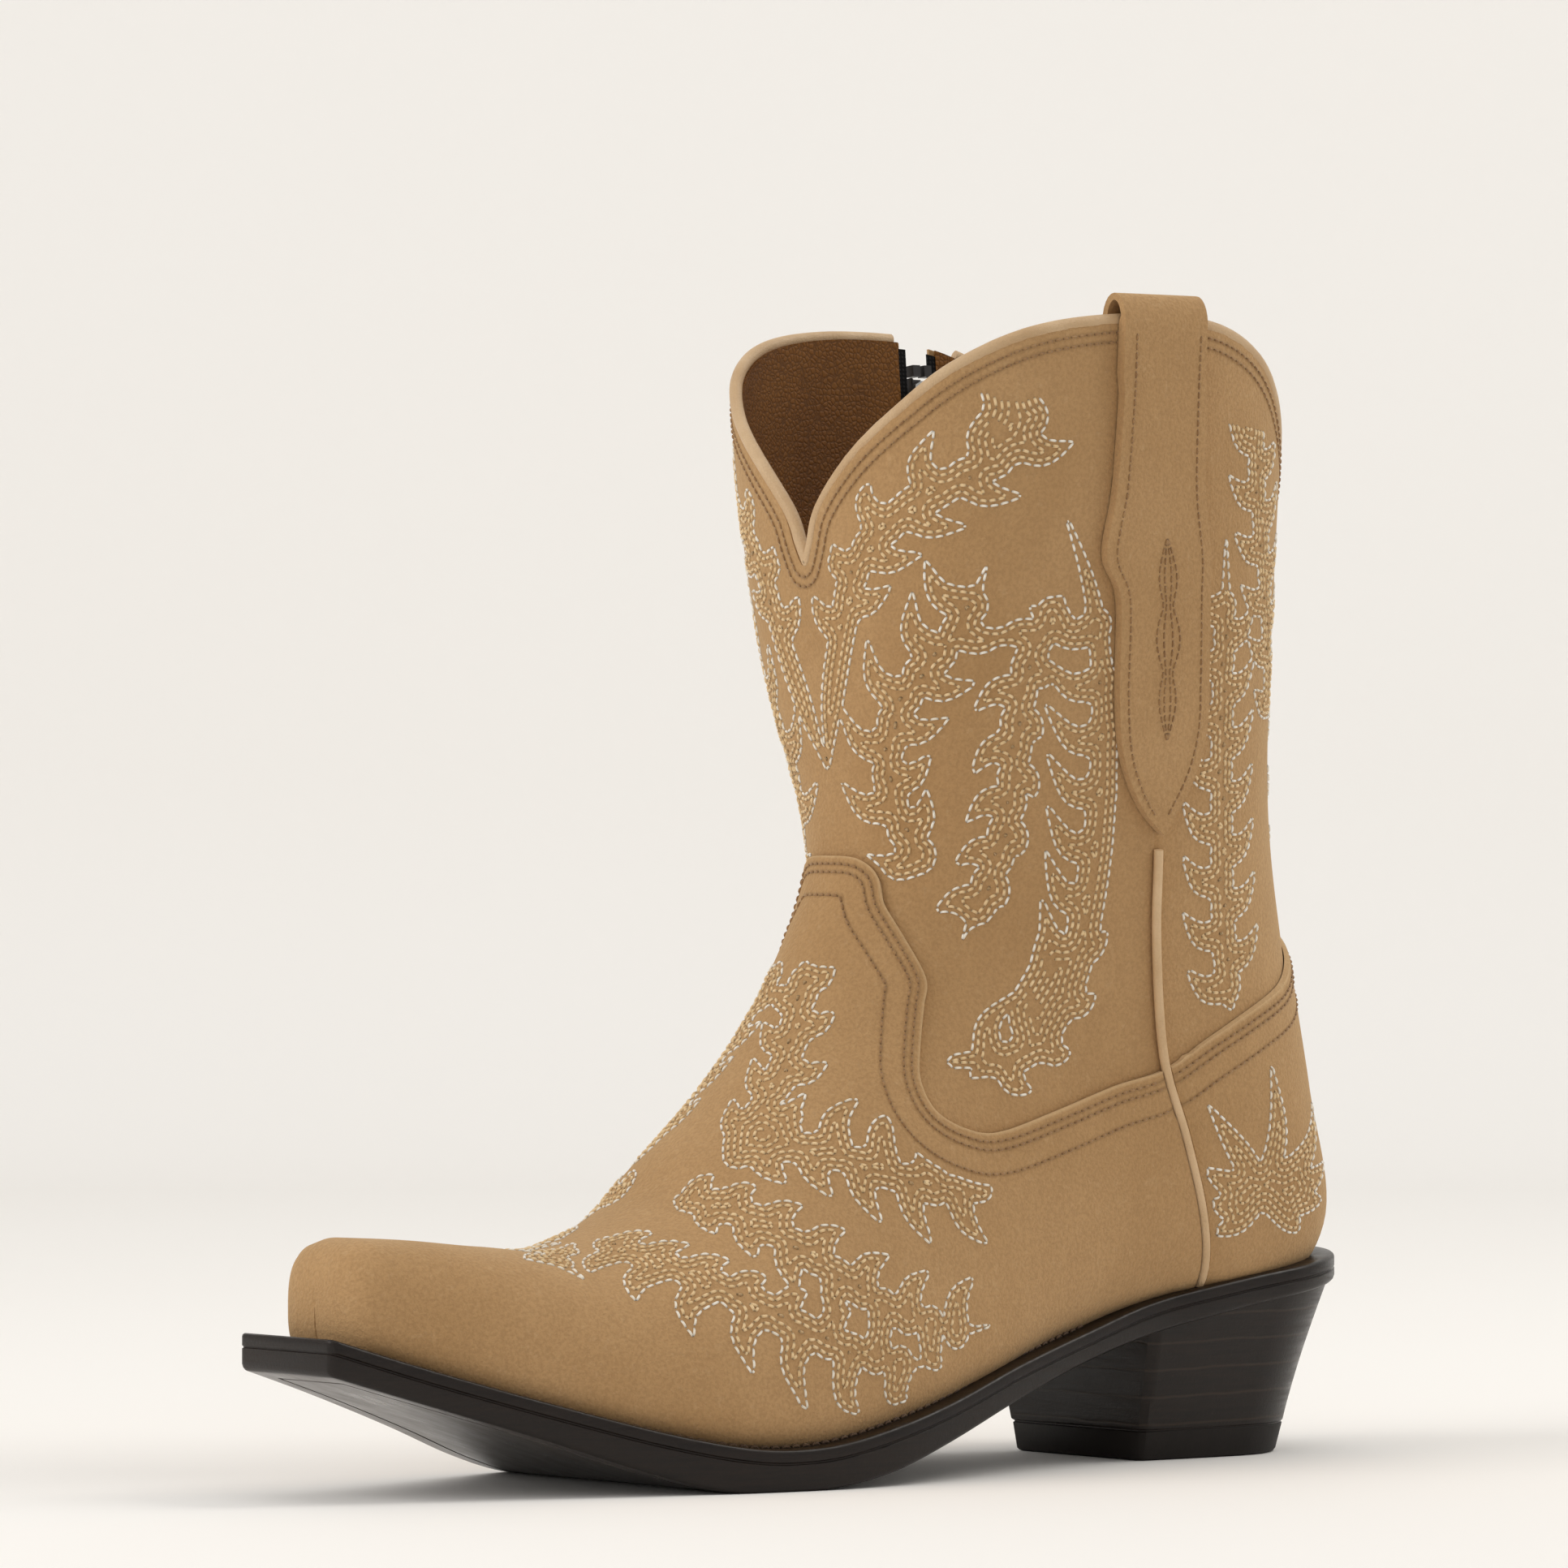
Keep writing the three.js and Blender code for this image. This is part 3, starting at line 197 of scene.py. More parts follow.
def form(t, angle, inset=0.0):
    """Points of the form, this far inside the boot's outside."""
    t, angle, inset = np.broadcast_arrays(*(np.asarray(v, float) for v in (t, angle, inset)))
    row = np.moveaxis(catmull(SECTIONS, np.maximum(t, 0)), -1, 0)
    front_y, front_z, back_y, back_z, outer, inner, front_round, back_round, belly = row
    end = np.clip(-t, 0, 1) * math.pi / 2
    shrink = np.abs(np.cos(end)) ** TOE_BLUNTNESS
    full = np.hypot(front_y - back_y, front_z - back_z) / 2
    half = full - inset
    dir_y, dir_z = (front_y - back_y) / (2 * full), (front_z - back_z) / (2 * full)
    sideways, forward = np.sin(angle), np.cos(angle)
    power = 2 / np.where(forward >= 0, front_round, back_round)
    width = np.where(sideways >= 0, outer, inner) - inset
    waist = -belly * half
    reach = np.where(forward >= 0, half - waist, -(half + waist))
    along = (waist + reach * np.abs(forward) ** power) * shrink
    x = width * np.sign(sideways) * np.abs(sideways) ** power * shrink
    y = (front_y + back_y) / 2 - (TOE_ADVANCE - inset) * np.sin(end) + dir_y * along
    return np.stack([x, y, (front_z + back_z) / 2 + dir_z * along], -1)


def t_levels(step, low=-1.0):
    """Places along the form about this far apart, closer at the rounded toe."""
    toe = []
    if low < 0:
        shrink = np.linspace(0, 1, 15)[:-1]
        toe = -np.arccos(shrink ** (1 / TOE_BLUNTNESS)) * 2 / math.pi
        low = 0.0
    dense = np.linspace(low, len(SECTIONS) - 1, 1500)
    row = catmull(SECTIONS, dense)
    front = np.hypot(*np.diff(row[:, 0:2], axis=0).T)
    back = np.hypot(*np.diff(row[:, 2:4], axis=0).T)
    run = np.concatenate([[0], np.cumsum((front + back) / 2)])
    count = int(run[-1] / step)
    return np.concatenate([toe, np.interp(np.linspace(0, run[-1], count), run, dense)])


def angle_columns(count, low, high):
    """Angles from low to high, spread evenly round an average section."""
    dense = np.linspace(low, high, 4001)
    run = np.zeros(4000)
    for t in (3.0, 8.0, 13.0):
        step = np.linalg.norm(np.diff(form(t, dense), axis=0), axis=1)
        run += step / step.sum()
    run = np.concatenate([[0], np.cumsum(run)])
    return np.interp(np.linspace(0, run[-1], count), run, dense)


def wrapped(points):
    """(distance round from the front, Z) of points, wrapped on the shaft's axis."""
    s = WRAP_RADIUS * np.arctan2(points[..., 0], -(points[..., 1] - AXIS_Y))
    return s, points[..., 2]


def make_tree():
    t = t_levels(2.0, 0.0)
    angle = angle_columns(200, -math.pi, math.pi)
    points = form(t[:, None], angle[None, :]).reshape(-1, 3)
    quads = grid_quads(np.arange(len(points)).reshape(len(t), len(angle)))
    return BVHTree.FromPolygons(points.tolist(), quads.tolist())


FORM_TREE = make_tree()
FOOT_TOP, FOOT_MIDDLE = 100.0, 30.0  # heights that tell which way is out of the foot
FOOT_FRONT_Y, FOOT_BACK_Y = -215, 20
CLEAR = 0.002  # keeps a ray off the edges of the form's mesh


def on_shaft(s, z):
    """The place on the form's outside at a wrapped outline point."""
    angle = np.clip(s / WRAP_RADIUS, -math.pi + CLEAR, math.pi - CLEAR)
    origin = Vector((CLEAR, AXIS_Y, z + CLEAR))
    return np.array(FORM_TREE.ray_cast(origin, Vector((math.sin(angle), -math.cos(angle), 0)))[0])


def on_side(side, y, z):
    """The place on the form's outside level with a point of the middle plane."""
    return np.array(FORM_TREE.ray_cast(Vector((0, y + CLEAR, z + CLEAR)), Vector((side, 0, 0)))[0])


def outward(points):
    """The form's outward directions nearest to points."""
    normals = []
    for p in points:
        place, normal, _, _ = FORM_TREE.find_nearest(Vector(p))
        middle = Vector((0, AXIS_Y, place.z))
        if place.z < FOOT_TOP:
            middle = Vector((0, min(max(place.y, FOOT_FRONT_Y), FOOT_BACK_Y), FOOT_MIDDLE))
        normals.append(normal if normal.dot(place - middle) > 0 else -normal)
    return np.array(normals)


# ---------------------------------------------------------------- distances

def distance_to_loop(points, loop):
    """Distance from each point to a closed line."""
    flat = points.reshape(-1, 3)
    line = np.vstack([loop, loop[:1]])
    best = np.full(len(flat), 1e9)
    for a, b in zip(line[:-1], line[1:]):
        ab = b - a
        f = np.clip((flat - a) @ ab / max(ab @ ab, 1e-9), 0, 1)
        best = np.minimum(best, ((flat - a - f[:, None] * ab) ** 2).sum(1))
    return np.sqrt(best).reshape(points.shape[:-1])


def both_sides(outline):
    """An outline for the outer side and its mirror image, once round the boot from the back."""
    line = np.asarray(outline)
    return np.vstack([line[:0:-1] * (-1, 1), line])


def round_line(outline):
    return np.array([on_shaft(s, z) for s, z in both_sides(smooth(outline, 5))[:-1]])


COLLAR_3D = round_line(COLLAR)
VAMP_LINE_3D = round_line(VAMP_LINE)


def below_line(points, outline, line_3d):
    """Distance below a line that runs round the boot, negative above it."""
    s, z = wrapped(points)
    line = smooth(outline, 8)
    sign = np.where(z < np.interp(np.abs(s), line[:, 0], line[:, 1]), 1, -1)
    return sign * distance_to_loop(points, line_3d)


def below_collar(points):
    return below_line(points, COLLAR, COLLAR_3D) - 1.1 * PIPING_RADIUS


def below_vamp_line(points):
    return below_line(points, VAMP_LINE, VAMP_LINE_3D)


def before_seams(points):
    """Distance in front of the side seams, negative behind them."""
    x, y, z = np.moveaxis(points, -1, 0)
    outer, inner = (smooth(seam)[::-1].T for seam in (OUTER_SEAM, INNER_SEAM))
    return np.where(x > 0, np.interp(z, outer[1], outer[0]), np.interp(z, inner[1], inner[0])) - y


def behind_seams(points):
    return -before_seams(points)


def line_z(outline, y):
    """Height at y of an outline of (Y, Z) points."""
    line = smooth(outline)
    return np.interp(y, line[:, 0], line[:, 1])


def above_sole(points):
    return points[..., 2] - line_z(SOLE_TOP, points[..., 1])


def beside_zip(points):
    """Distance outside the zip's opening."""
    x, y, z = np.moveaxis(points, -1, 0)
    slot = np.maximum(np.abs(y - ZIP_Y) - ZIP_OPENING / 2, ZIP_LOWEST - z)
    return np.where(x < 0, slot, 99.0)


# ---------------------------------------------------------------- meshes

def new_object(name, vertices, faces, material, smooth_angle=50, attributes=None):
    """A mesh object from points in millimetres."""
    mesh = bpy.data.meshes.new(name)
    if isinstance(faces, np.ndarray):
        size = faces.shape[1]
        mesh.vertices.add(len(vertices))
        mesh.vertices.foreach_set("co", (np.asarray(vertices, np.float32) * MM).ravel())
        mesh.loops.add(faces.size)
        mesh.loops.foreach_set("vertex_index", faces.astype(np.int32).ravel())
        mesh.polygons.add(len(faces))
        mesh.polygons.foreach_set("loop_start", np.arange(0, faces.size, size, dtype=np.int32))
        mesh.polygons.foreach_set("loop_total", np.full(len(faces), size, np.int32))
        mesh.update(calc_edges=True)
    else:
        mesh.from_pydata((np.asarray(vertices) * MM).tolist(), [], faces)
    mesh.validate()
    for key, values in (attributes or {}).items():
        attribute = mesh.attributes.new(key, "FLOAT", "POINT")
        attribute.data.foreach_set("value", np.asarray(values, np.float32))
    mesh.shade_smooth()
    mesh.set_sharp_from_angle(angle=math.radians(smooth_angle))
    obj = bpy.data.objects.new(name, mesh)
    bpy.context.scene.collection.objects.link(obj)
    obj.data.materials.append(material)
    return obj


def piece(name, vertices, faces, material, slot, nodes=(), **options):
    """A visible piece that rides on the boot and stands for CAD nodes."""
    obj = new_object(name, vertices, faces, material, **options)
    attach(obj, "boot")
    if nodes:
        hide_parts(*nodes)
    return obj


def triangle_edges(tris):
    return np.vstack([tris[:, [0, 1]], tris[:, [1, 2]], tris[:, [2, 0]]])


def clip(t, angle, tris, field):
    """Cuts a skin of triangles along field == 0 and keeps the side where field is positive."""
    value = field(form(t, angle)).copy()
    t, angle = t.copy(), angle.copy()
    edges = np.unique(np.sort(triangle_edges(tris), axis=1), axis=0)
    a, b = edges[(value[edges[:, 0]] > 0) != (value[edges[:, 1]] > 0)].T
    share = value[a] / (value[a] - value[b])
    t_cut = t[a] + share * (t[b] - t[a])
    angle_cut = angle[a] + share * (angle[b] - angle[a])
    for ends, near in ((a, share < 0.3), (b, share > 0.7)):
        moved = ends[near]
        t[moved], angle[moved], value[moved] = t_cut[near], angle_cut[near], 0.0
    inside = value[tris] >= 0
    kept = tris[inside.all(1) & (value[tris].max(1) > 0)]
    fresh_t, fresh_angle, made, new_tris = [], [], {}, []

    def crossing(i, j):
        """The vertex where the edge from inside vertex i to outside vertex j crosses the line."""
        if value[i] == 0:
            return i
        key = (i, j)
        if key not in made:
            share = value[i] / (value[i] - value[j])
            made[key] = len(t) + len(fresh_t)
            fresh_t.append(t[i] + share * (t[j] - t[i]))
            fresh_angle.append(angle[i] + share * (angle[j] - angle[i]))
        return made[key]

    for row in tris[inside.any(1) & ~inside.all(1)]:
        ring = []
        for k in range(3):
            i, j = int(row[k]), int(row[(k + 1) % 3])
            if value[i] >= 0:
                ring.append(i)
            if (value[i] >= 0) != (value[j] >= 0):
                ring.append(crossing(i, j) if value[i] >= 0 else crossing(j, i))
        ring = [v for k, v in enumerate(ring) if v != ring[k - 1]]
        new_tris += [(ring[0], ring[k], ring[k + 1]) for k in range(1, len(ring) - 1)]
    tris = np.vstack([kept, np.array(new_tris, int).reshape(-1, 3)])
    t, angle = np.concatenate([t, fresh_t]), np.concatenate([angle, fresh_angle])
    used, tris = np.unique(tris, return_inverse=True)
    return t[used], angle[used], tris.reshape(-1, 3)


def triangle_grid(levels, angles):
    """(t, angle, triangles) over the form, with the triangles facing out."""
    t, angle = (g.ravel() for g in np.meshgrid(levels, angles, indexing="ij"))
    quads = grid_quads(np.arange(t.size).reshape(len(levels), len(angles)))
    return t, angle, np.vstack([quads[:, [0, 2, 1]], quads[:, [0, 3, 2]]])


def skin(step, columns, low_angle, fields, t_low=-1.0):
    """The part of the form's surface where every field is positive, as (t, angle, triangles)."""
    levels = t_levels(step, t_low)
    angles = angle_columns(columns, low_angle, low_angle + 2 * math.pi)
    t, angle, tris = triangle_grid(levels, angles)
    for field in fields:
        t, angle, tris = clip(t, angle, tris, field)
    return t, angle, tris


def leather_panel(name, material, slot, nodes, surface, inset, thickness, marks=None, rim_drop=0.3):
    """A panel of leather with real thickness and slightly rounded rims."""
    t, angle, tris = surface
    edges = triangle_edges(tris)
    _, first, count = np.unique(np.sort(edges, axis=1), axis=0, return_index=True, return_counts=True)
    rim = edges[first[count == 1]]
    drop = np.zeros(len(t))
    drop[np.unique(rim)] = rim_drop
    outer, inner = form(t, angle, inset + drop), form(t, angle, inset + thickness)
    side = np.hstack([rim[:, ::-1], rim + len(t)])
    faces = tris.tolist() + (tris[:, ::-1] + len(t)).tolist() + side.tolist()
    attributes = {}
    for mark, field in (marks or {}).items():
        value = field(form(t, angle))
        attributes[mark] = np.concatenate([value, value])
    return piece(name, np.vstack([outer, inner]), faces, material, slot, nodes, attributes=attributes)


def cord_piece(name, points, radius, material, sides=14):
    """A round cord along points, which stands for the node of its own name."""
    along = unit(np.gradient(points, axis=0))
    across = unit(np.cross(along, outward(points)))
    up = np.cross(across, along)
    turn = np.linspace(0, 2 * math.pi, sides, endpoint=False)[:, None]
    vertices = points[:, None] + radius * (across[:, None] * np.cos(turn) + up[:, None] * np.sin(turn))
    index = np.arange(len(points) * sides).reshape(len(points), sides)
    faces = ring_quads(index).tolist() + [index[0][::-1].tolist(), index[-1].tolist()]
    piece(name, vertices.reshape(-1, 3), faces, material, "smooth_leather", [name])


# ---------------------------------------------------------------- material tools

def srgb(r, g, b):
    """A linear colour from eight-bit screen values."""
    def line(v):
        v /= 255
        return v / 12.92 if v <= 0.04045 else ((v + 0.055) / 1.055) ** 2.4
    return (line(r), line(g), line(b), 1.0)


class Nodes:
    """A node material, built by short calls."""

    def __init__(self, name, roughness=0.6, metallic=0.0, **inputs):
        self.material = bpy.data.materials.new(name)
        self.material.use_nodes = True
        self.tree = self.material.node_tree
        self.shader = self.tree.nodes["Principled BSDF"]
        self.set("Roughness", roughness)
        self.set("Metallic", metallic)
        for key, value in inputs.items():
            self.set(key.replace("_", " "), value)
        self.place = self.add("ShaderNodeTexCoord").outputs["Object"]

    def feed(self, socket, value):
        if isinstance(value, bpy.types.NodeSocket):
            self.tree.links.new(value, socket)
        else:
            socket.default_value = value

    def set(self, key, value):
        self.feed(self.shader.inputs[key], value)

    def add(self, kind, inputs=None, **settings):
        node = self.tree.nodes.new(kind)
        for key, value in settings.items():
            setattr(node, key, value)
        for key, value in (inputs or {}).items():
            self.feed(node.inputs[key], value)
        return node

    def noise(self, size_mm, detail=3.0, roughness=0.55, stretch=(1, 1, 1)):
        """Noise whose features are about this many millimetres across."""
        place = self.add("ShaderNodeMapping", {"Vector": self.place, "Scale": stretch}).outputs[0]
        return self.add("ShaderNodeTexNoise", {
            "Vector": place, "Scale": 1 / (size_mm * MM * 2), "Detail": detail, "Roughness": roughness,
        }).outputs["Fac"]

    def cells(self, size_mm, randomness=1.0):
        return self.add("ShaderNodeTexVoronoi", {
            "Vector": self.place, "Scale": 1 / (size_mm * MM), "Randomness": randomness,
        }, feature="DISTANCE_TO_EDGE").outputs["Distance"]

    def ramp(self, value, stops):
        """A colour or a grey read from (place, value) stops."""
        node = self.add("ShaderNodeValToRGB", {"Fac": value})
        elements = node.color_ramp.elements
        while len(elements) < len(stops):
            elements.new(0.5)
        for element, (place, colour) in zip(elements, stops):
            element.position = place
            element.color = colour if isinstance(colour, tuple) else (colour, colour, colour, 1)
        return node.outputs["Color"]

    def mark(self, name):
        return self.add("ShaderNodeAttribute", attribute_name=name).outputs["Fac"]

    def math(self, operation, a, b=0.0, clamp=False):
        return self.add("ShaderNodeMath", {0: a, 1: b}, operation=operation, use_clamp=clamp).outputs[0]

    def mix(self, share, a, b):
        return self.add("ShaderNodeMix", {0: share, 6: a, 7: b}, data_type="RGBA").outputs[2]

    def band(self, value, middle, width):
        """One where value is at middle, falling to nought this far from it."""
        far = self.math("ABSOLUTE", self.math("SUBTRACT", value, middle))
        return self.math("SUBTRACT", 1.0, self.math("DIVIDE", far, width), clamp=True)

    def bump(self, *heights):
        """Bumps from (height, depth in millimetres) pairs."""
        normal = None
        for height, depth in heights:
            inputs = {"Height": height, "Strength": 1.0, "Distance": depth * MM}
            if normal is not None:
                inputs["Normal"] = normal
            normal = self.add("ShaderNodeBump", inputs).outputs[0]
        self.set("Normal", normal)


# ---------------------------------------------------------------- materials

def blotches(n, value, low, high, amount=1.0):
    """Nought to the amount as the value goes from low to high."""
    return n.ramp(value, [(low, 0.0), (high, amount)])


def suede(name, rim=None, mark=None, rows=()):
    """Napped split leather; rim marks its raw edge, and sewn rows dent it at distances read from a mark,
    the dents darkened by painted shade and partly by their pressed-down nap.
    """
    n = Nodes(name, roughness=0.92, Specular_IOR_Level=0.18)
    n.set("Sheen Weight", 0.35)
    n.set("Sheen Roughness", 0.55)
    n.set("Sheen Tint", srgb(236, 214, 178))
    broad = n.noise(26, 2.0)
    nap = n.noise(5.0, 4.0, 0.6, stretch=(1, 1, 0.7))
    grain = n.noise(0.42, 2.0, 0.6)
    pits = n.noise(1.1, 3.0, 0.65)
    base = n.ramp(broad, [(0.3, srgb(172, 135, 91)), (0.7, srgb(184, 147, 103))])
    base = n.mix(blotches(n, nap, 0.35, 0.65, 0.16), base, srgb(154, 117, 75))
    base = n.mix(n.ramp(grain, [(0.38, 0.3), (0.6, 0.0)]), base, srgb(140, 106, 70))
    base = n.mix(blotches(n, pits, 0.58, 0.78, 0.22), base, srgb(208, 178, 138))
    if rim:
        raw = n.ramp(n.math("DIVIDE", n.mark(rim), 4.0, clamp=True), [(0.0, 0.5), (0.2, 0.0)])
        base = n.mix(raw, base, srgb(214, 184, 142))
    dents = None
    for distance in rows:
        dent = n.band(n.mark(mark), distance, 0.9)
        dents = dent if dents is None else n.math("MAXIMUM", dents, dent)
    heights = [(grain, 0.26), (pits, 0.2), (nap, 0.2)]
    if dents is not None:
        # the sewn rows' grooves are darkened: painted shade in the grooves, and partly the nap pressed down
        # there
        base = n.mix(n.math("MULTIPLY", dents, 0.35), base, srgb(128, 94, 58))
        heights.append((n.math("SUBTRACT", 1.0, n.math("POWER", dents, 2.0)), 0.35))
    n.set("Base Color", base)
    n.bump(*heights)
    return n.material


def smooth_leather(name, light, dark, roughness=0.42):
    n = Nodes(name, roughness=roughness, Specular_IOR_Level=0.4)
    creases = n.cells(0.9)
    mottle = n.noise(7, 3.0)
    n.set("Base Color", n.mix(blotches(n, mottle, 0.35, 0.7), light, dark))
    n.set("Roughness", n.ramp(mottle, [(0.3, roughness - 0.06), (0.7, roughness + 0.1)]))
    n.bump((blotches(n, creases, 0.0, 0.12), 0.05), (n.noise(0.4, 2.0), 0.04))
    return n.material


def lining_leather():
    n = Nodes("lining_leather", roughness=0.6, Specular_IOR_Level=0.2)
    pebble = n.cells(1.25, randomness=0.9)
    tone = n.noise(12, 3.0)
    base = n.mix(blotches(n, tone, 0.3, 0.7), srgb(130, 84, 32), srgb(106, 64, 18))
    # painted shade: the narrow creases between the pebbles are darkened
    base = n.mix(n.ramp(pebble, [(0.0, 0.55), (0.16, 0.0)]), base, srgb(66, 38, 14))
    n.set("Base Color", base)
    n.bump((blotches(n, pebble, 0.0, 0.3), 0.12), (n.noise(0.35, 2.0), 0.05))
    return n.material


def stacked_leather(name, layers=0.0):
    """Stained and waxed edges of sole leather; layers is the spacing of its level seams."""
    n = Nodes(name, Specular_IOR_Level=0.25)
    n.set("Coat Weight", 0.08)
    n.set("Coat Roughness", 0.25)
    streak = n.noise(3.0, 4.0, 0.65, stretch=(0.35, 0.35, 5.0))
    fleck = n.noise(0.5, 3.0, 0.7)
    base = n.mix(blotches(n, streak, 0.35, 0.72), srgb(20, 13, 9), srgb(32, 23, 17))
    base = n.mix(blotches(n, fleck, 0.64, 0.82, 0.2), base, srgb(78, 62, 50))
    heights = [(streak, 0.09), (fleck, 0.05)]
    if layers:
        up = n.add("ShaderNodeSeparateXYZ", {"Vector": n.place}).outputs[2]
        waver = n.math("MULTIPLY", n.noise(9, 2.0), 0.25)
        place = n.math("ADD", n.math("DIVIDE", up, layers * MM), waver)
        seam = n.band(n.math("FRACT", place), 0.5, 0.07)
        base = n.mix(n.math("MULTIPLY", seam, 0.3), base, srgb(80, 64, 50))
        heights.append((n.math("SUBTRACT", 1.0, seam), 0.06))
    n.set("Base Color", base)
    n.set("Roughness", n.ramp(streak, [(0.3, 0.28), (0.75, 0.5)]))
    n.bump(*heights)
    return n.material


def tread_leather():
    n = Nodes("tread_leather", roughness=0.3, Specular_IOR_Level=0.5)
    n.set("Coat Weight", 0.3)
    n.set("Coat Roughness", 0.2)
    scuff = n.noise(4.0, 4.0, 0.7, stretch=(1.0, 0.3, 1.0))
    n.set("Base Color", n.mix(blotches(n, scuff, 0.35, 0.75), srgb(40, 32, 27), srgb(64, 54, 47)))
    n.set("Roughness", n.ramp(scuff, [(0.3, 0.24), (0.75, 0.46)]))
    n.bump((scuff, 0.06), (n.noise(0.6, 2.0), 0.03))
    return n.material


def rubber():
    n = Nodes("rubber", roughness=0.6, Specular_IOR_Level=0.25)
    n.set("Base Color", n.mix(n.noise(3.0, 3.0), srgb(20, 15, 12), srgb(30, 24, 20)))
    n.bump((n.noise(0.5, 3.0), 0.05))
    return n.material


def thread(name, light, dark):
    """Twisted thread, with its ply shown by fine slanting stripes."""
    n = Nodes(name, roughness=0.62, Specular_IOR_Level=0.35)
    n.set("Sheen Weight", 0.2)
    ply = n.add("ShaderNodeTexWave", {
        "Vector": n.place, "Scale": 1 / (0.9 * MM), "Distortion": 1.5, "Detail": 1.0,
    }, bands_direction="DIAGONAL").outputs["Fac"]
    tone = n.noise(3.0, 2.0)
    base = n.mix(blotches(n, tone, 0.3, 0.7), light, dark)
    base = n.mix(n.math("MULTIPLY", ply, 0.3), base, dark)
    # painted shade: each stitch's ends are darkened where the thread goes down into its needle hole
    n.set("Base Color", n.mix(n.mark("hole"), base, srgb(58, 36, 18)))
    n.bump((ply, 0.05))
    return n.material


def metal(name, colour, roughness):
    n = Nodes(name, roughness=roughness, metallic=1.0)
    wear = n.noise(1.2, 3.0, 0.6)
    n.set("Base Color", n.mix(n.math("MULTIPLY", wear, 0.35), colour, srgb(90, 88, 86)))
    n.set("Roughness", n.ramp(wear, [(0.3, roughness - 0.06), (0.75, roughness + 0.15)]))
    n.bump((wear, 0.02))
    return n.material


def woven(name, light, dark, pitch_mm):
    n = Nodes(name, roughness=0.9, Specular_IOR_Level=0.2)
    warp, weft = (n.add("ShaderNodeTexWave", {
        "Vector": n.place, "Scale": 1 / (pitch_mm * MM * 6.3), "Distortion": 0.3,
    }, bands_direction=axis).outputs["Fac"] for axis in ("Y", "Z"))
    weave = n.math("MULTIPLY", warp, weft)
    n.set("Base Color", n.mix(weave, dark, light))
    n.bump((weave, 0.15))
    return n.material


def fibre(name, light, dark, size_mm):
    """Pressed board, cork or cloth backing that stays out of sight."""
    n = Nodes(name, roughness=0.9, Specular_IOR_Level=0.2)
    grain = n.cells(size_mm)
    # painted shade: the sunk edges between the grains are darkened
    n.set("Base Color", n.mix(n.ramp(grain, [(0.0, 1.0), (0.25, 0.0)]), light, dark))
    n.bump((grain, 0.2))
    return n.material


MATERIALS = {
    "suede": suede("suede"),
    "suede_vamp": suede("suede_vamp", "edge", "edge", VAMP_ROWS),
    "suede_shaft": suede("suede_shaft", None, "collar", COLLAR_ROWS),
    "smooth_leather": smooth_leather("smooth_leather", srgb(204, 174, 136), srgb(188, 155, 115)),
    "bead": smooth_leather("bead", srgb(214, 182, 142), srgb(196, 162, 120), 0.5),
    "lining_leather": lining_leather(),
    "sole_leather": stacked_leather("sole_leather"),
    "heel_leather": stacked_leather("heel_leather", layers=6.3),
    "tread_leather": tread_leather(),
    "rubber": rubber(),
    "white_thread": thread("white_thread", srgb(250, 246, 236), srgb(232, 222, 202)),
    "tan_thread": thread("tan_thread", srgb(240, 212, 166), srgb(220, 188, 138)),
    "seam_thread": thread("seam_thread", srgb(170, 132, 86), srgb(144, 106, 64)),
    "welt_thread": thread("welt_thread", srgb(112, 86, 58), srgb(84, 62, 42)),
    "steel": metal("steel", srgb(196, 196, 194), 0.24),
    "gunmetal": metal("gunmetal", srgb(64, 62, 62), 0.34),
    "zip_tape": woven("zip_tape", srgb(40, 38, 38), srgb(12, 12, 13), 0.5),
    "board": fibre("board", srgb(176, 150, 112), srgb(140, 112, 76), 1.5),
    "cork": fibre("cork", srgb(168, 124, 76), srgb(104, 70, 38), 2.5),
    "cloth_backing": woven("cloth_backing", srgb(222, 212, 190), srgb(180, 168, 144), 0.7),
}
for node in frame["nodes"].values():
    slot = next(s["material_slot"] for s in frame["record"]["subparts"] if s["node"] == node.name)
    node.data.materials.clear()
    node.data.materials.append(MATERIALS[slot])


# ---------------------------------------------------------------- the upper

SEAM_GAP = 1.4  # from the side seams to the vamp and the counter, where the beads lie
SUNK = 0.6  # how far the upper goes down behind the welt
SKIN_STEP, SKIN_COLUMNS = 1.6, 240
FRONT_START, BACK_START = -math.pi, 0.0  # the angle where each half's grid starts, away from the half
COUNTER_START = 5.0  # t of the first section that the back half and the shaft need


def in_front(points):
    return before_seams(points) - SEAM_GAP


def behind(points):
    return behind_seams(points) - SEAM_GAP


def tucked(points):
    return TUCK - below_vamp_line(points)


def sunk(points):
    return above_sole(points) + SUNK


def lining_slot(points):
    return beside_zip(points) - 1.2


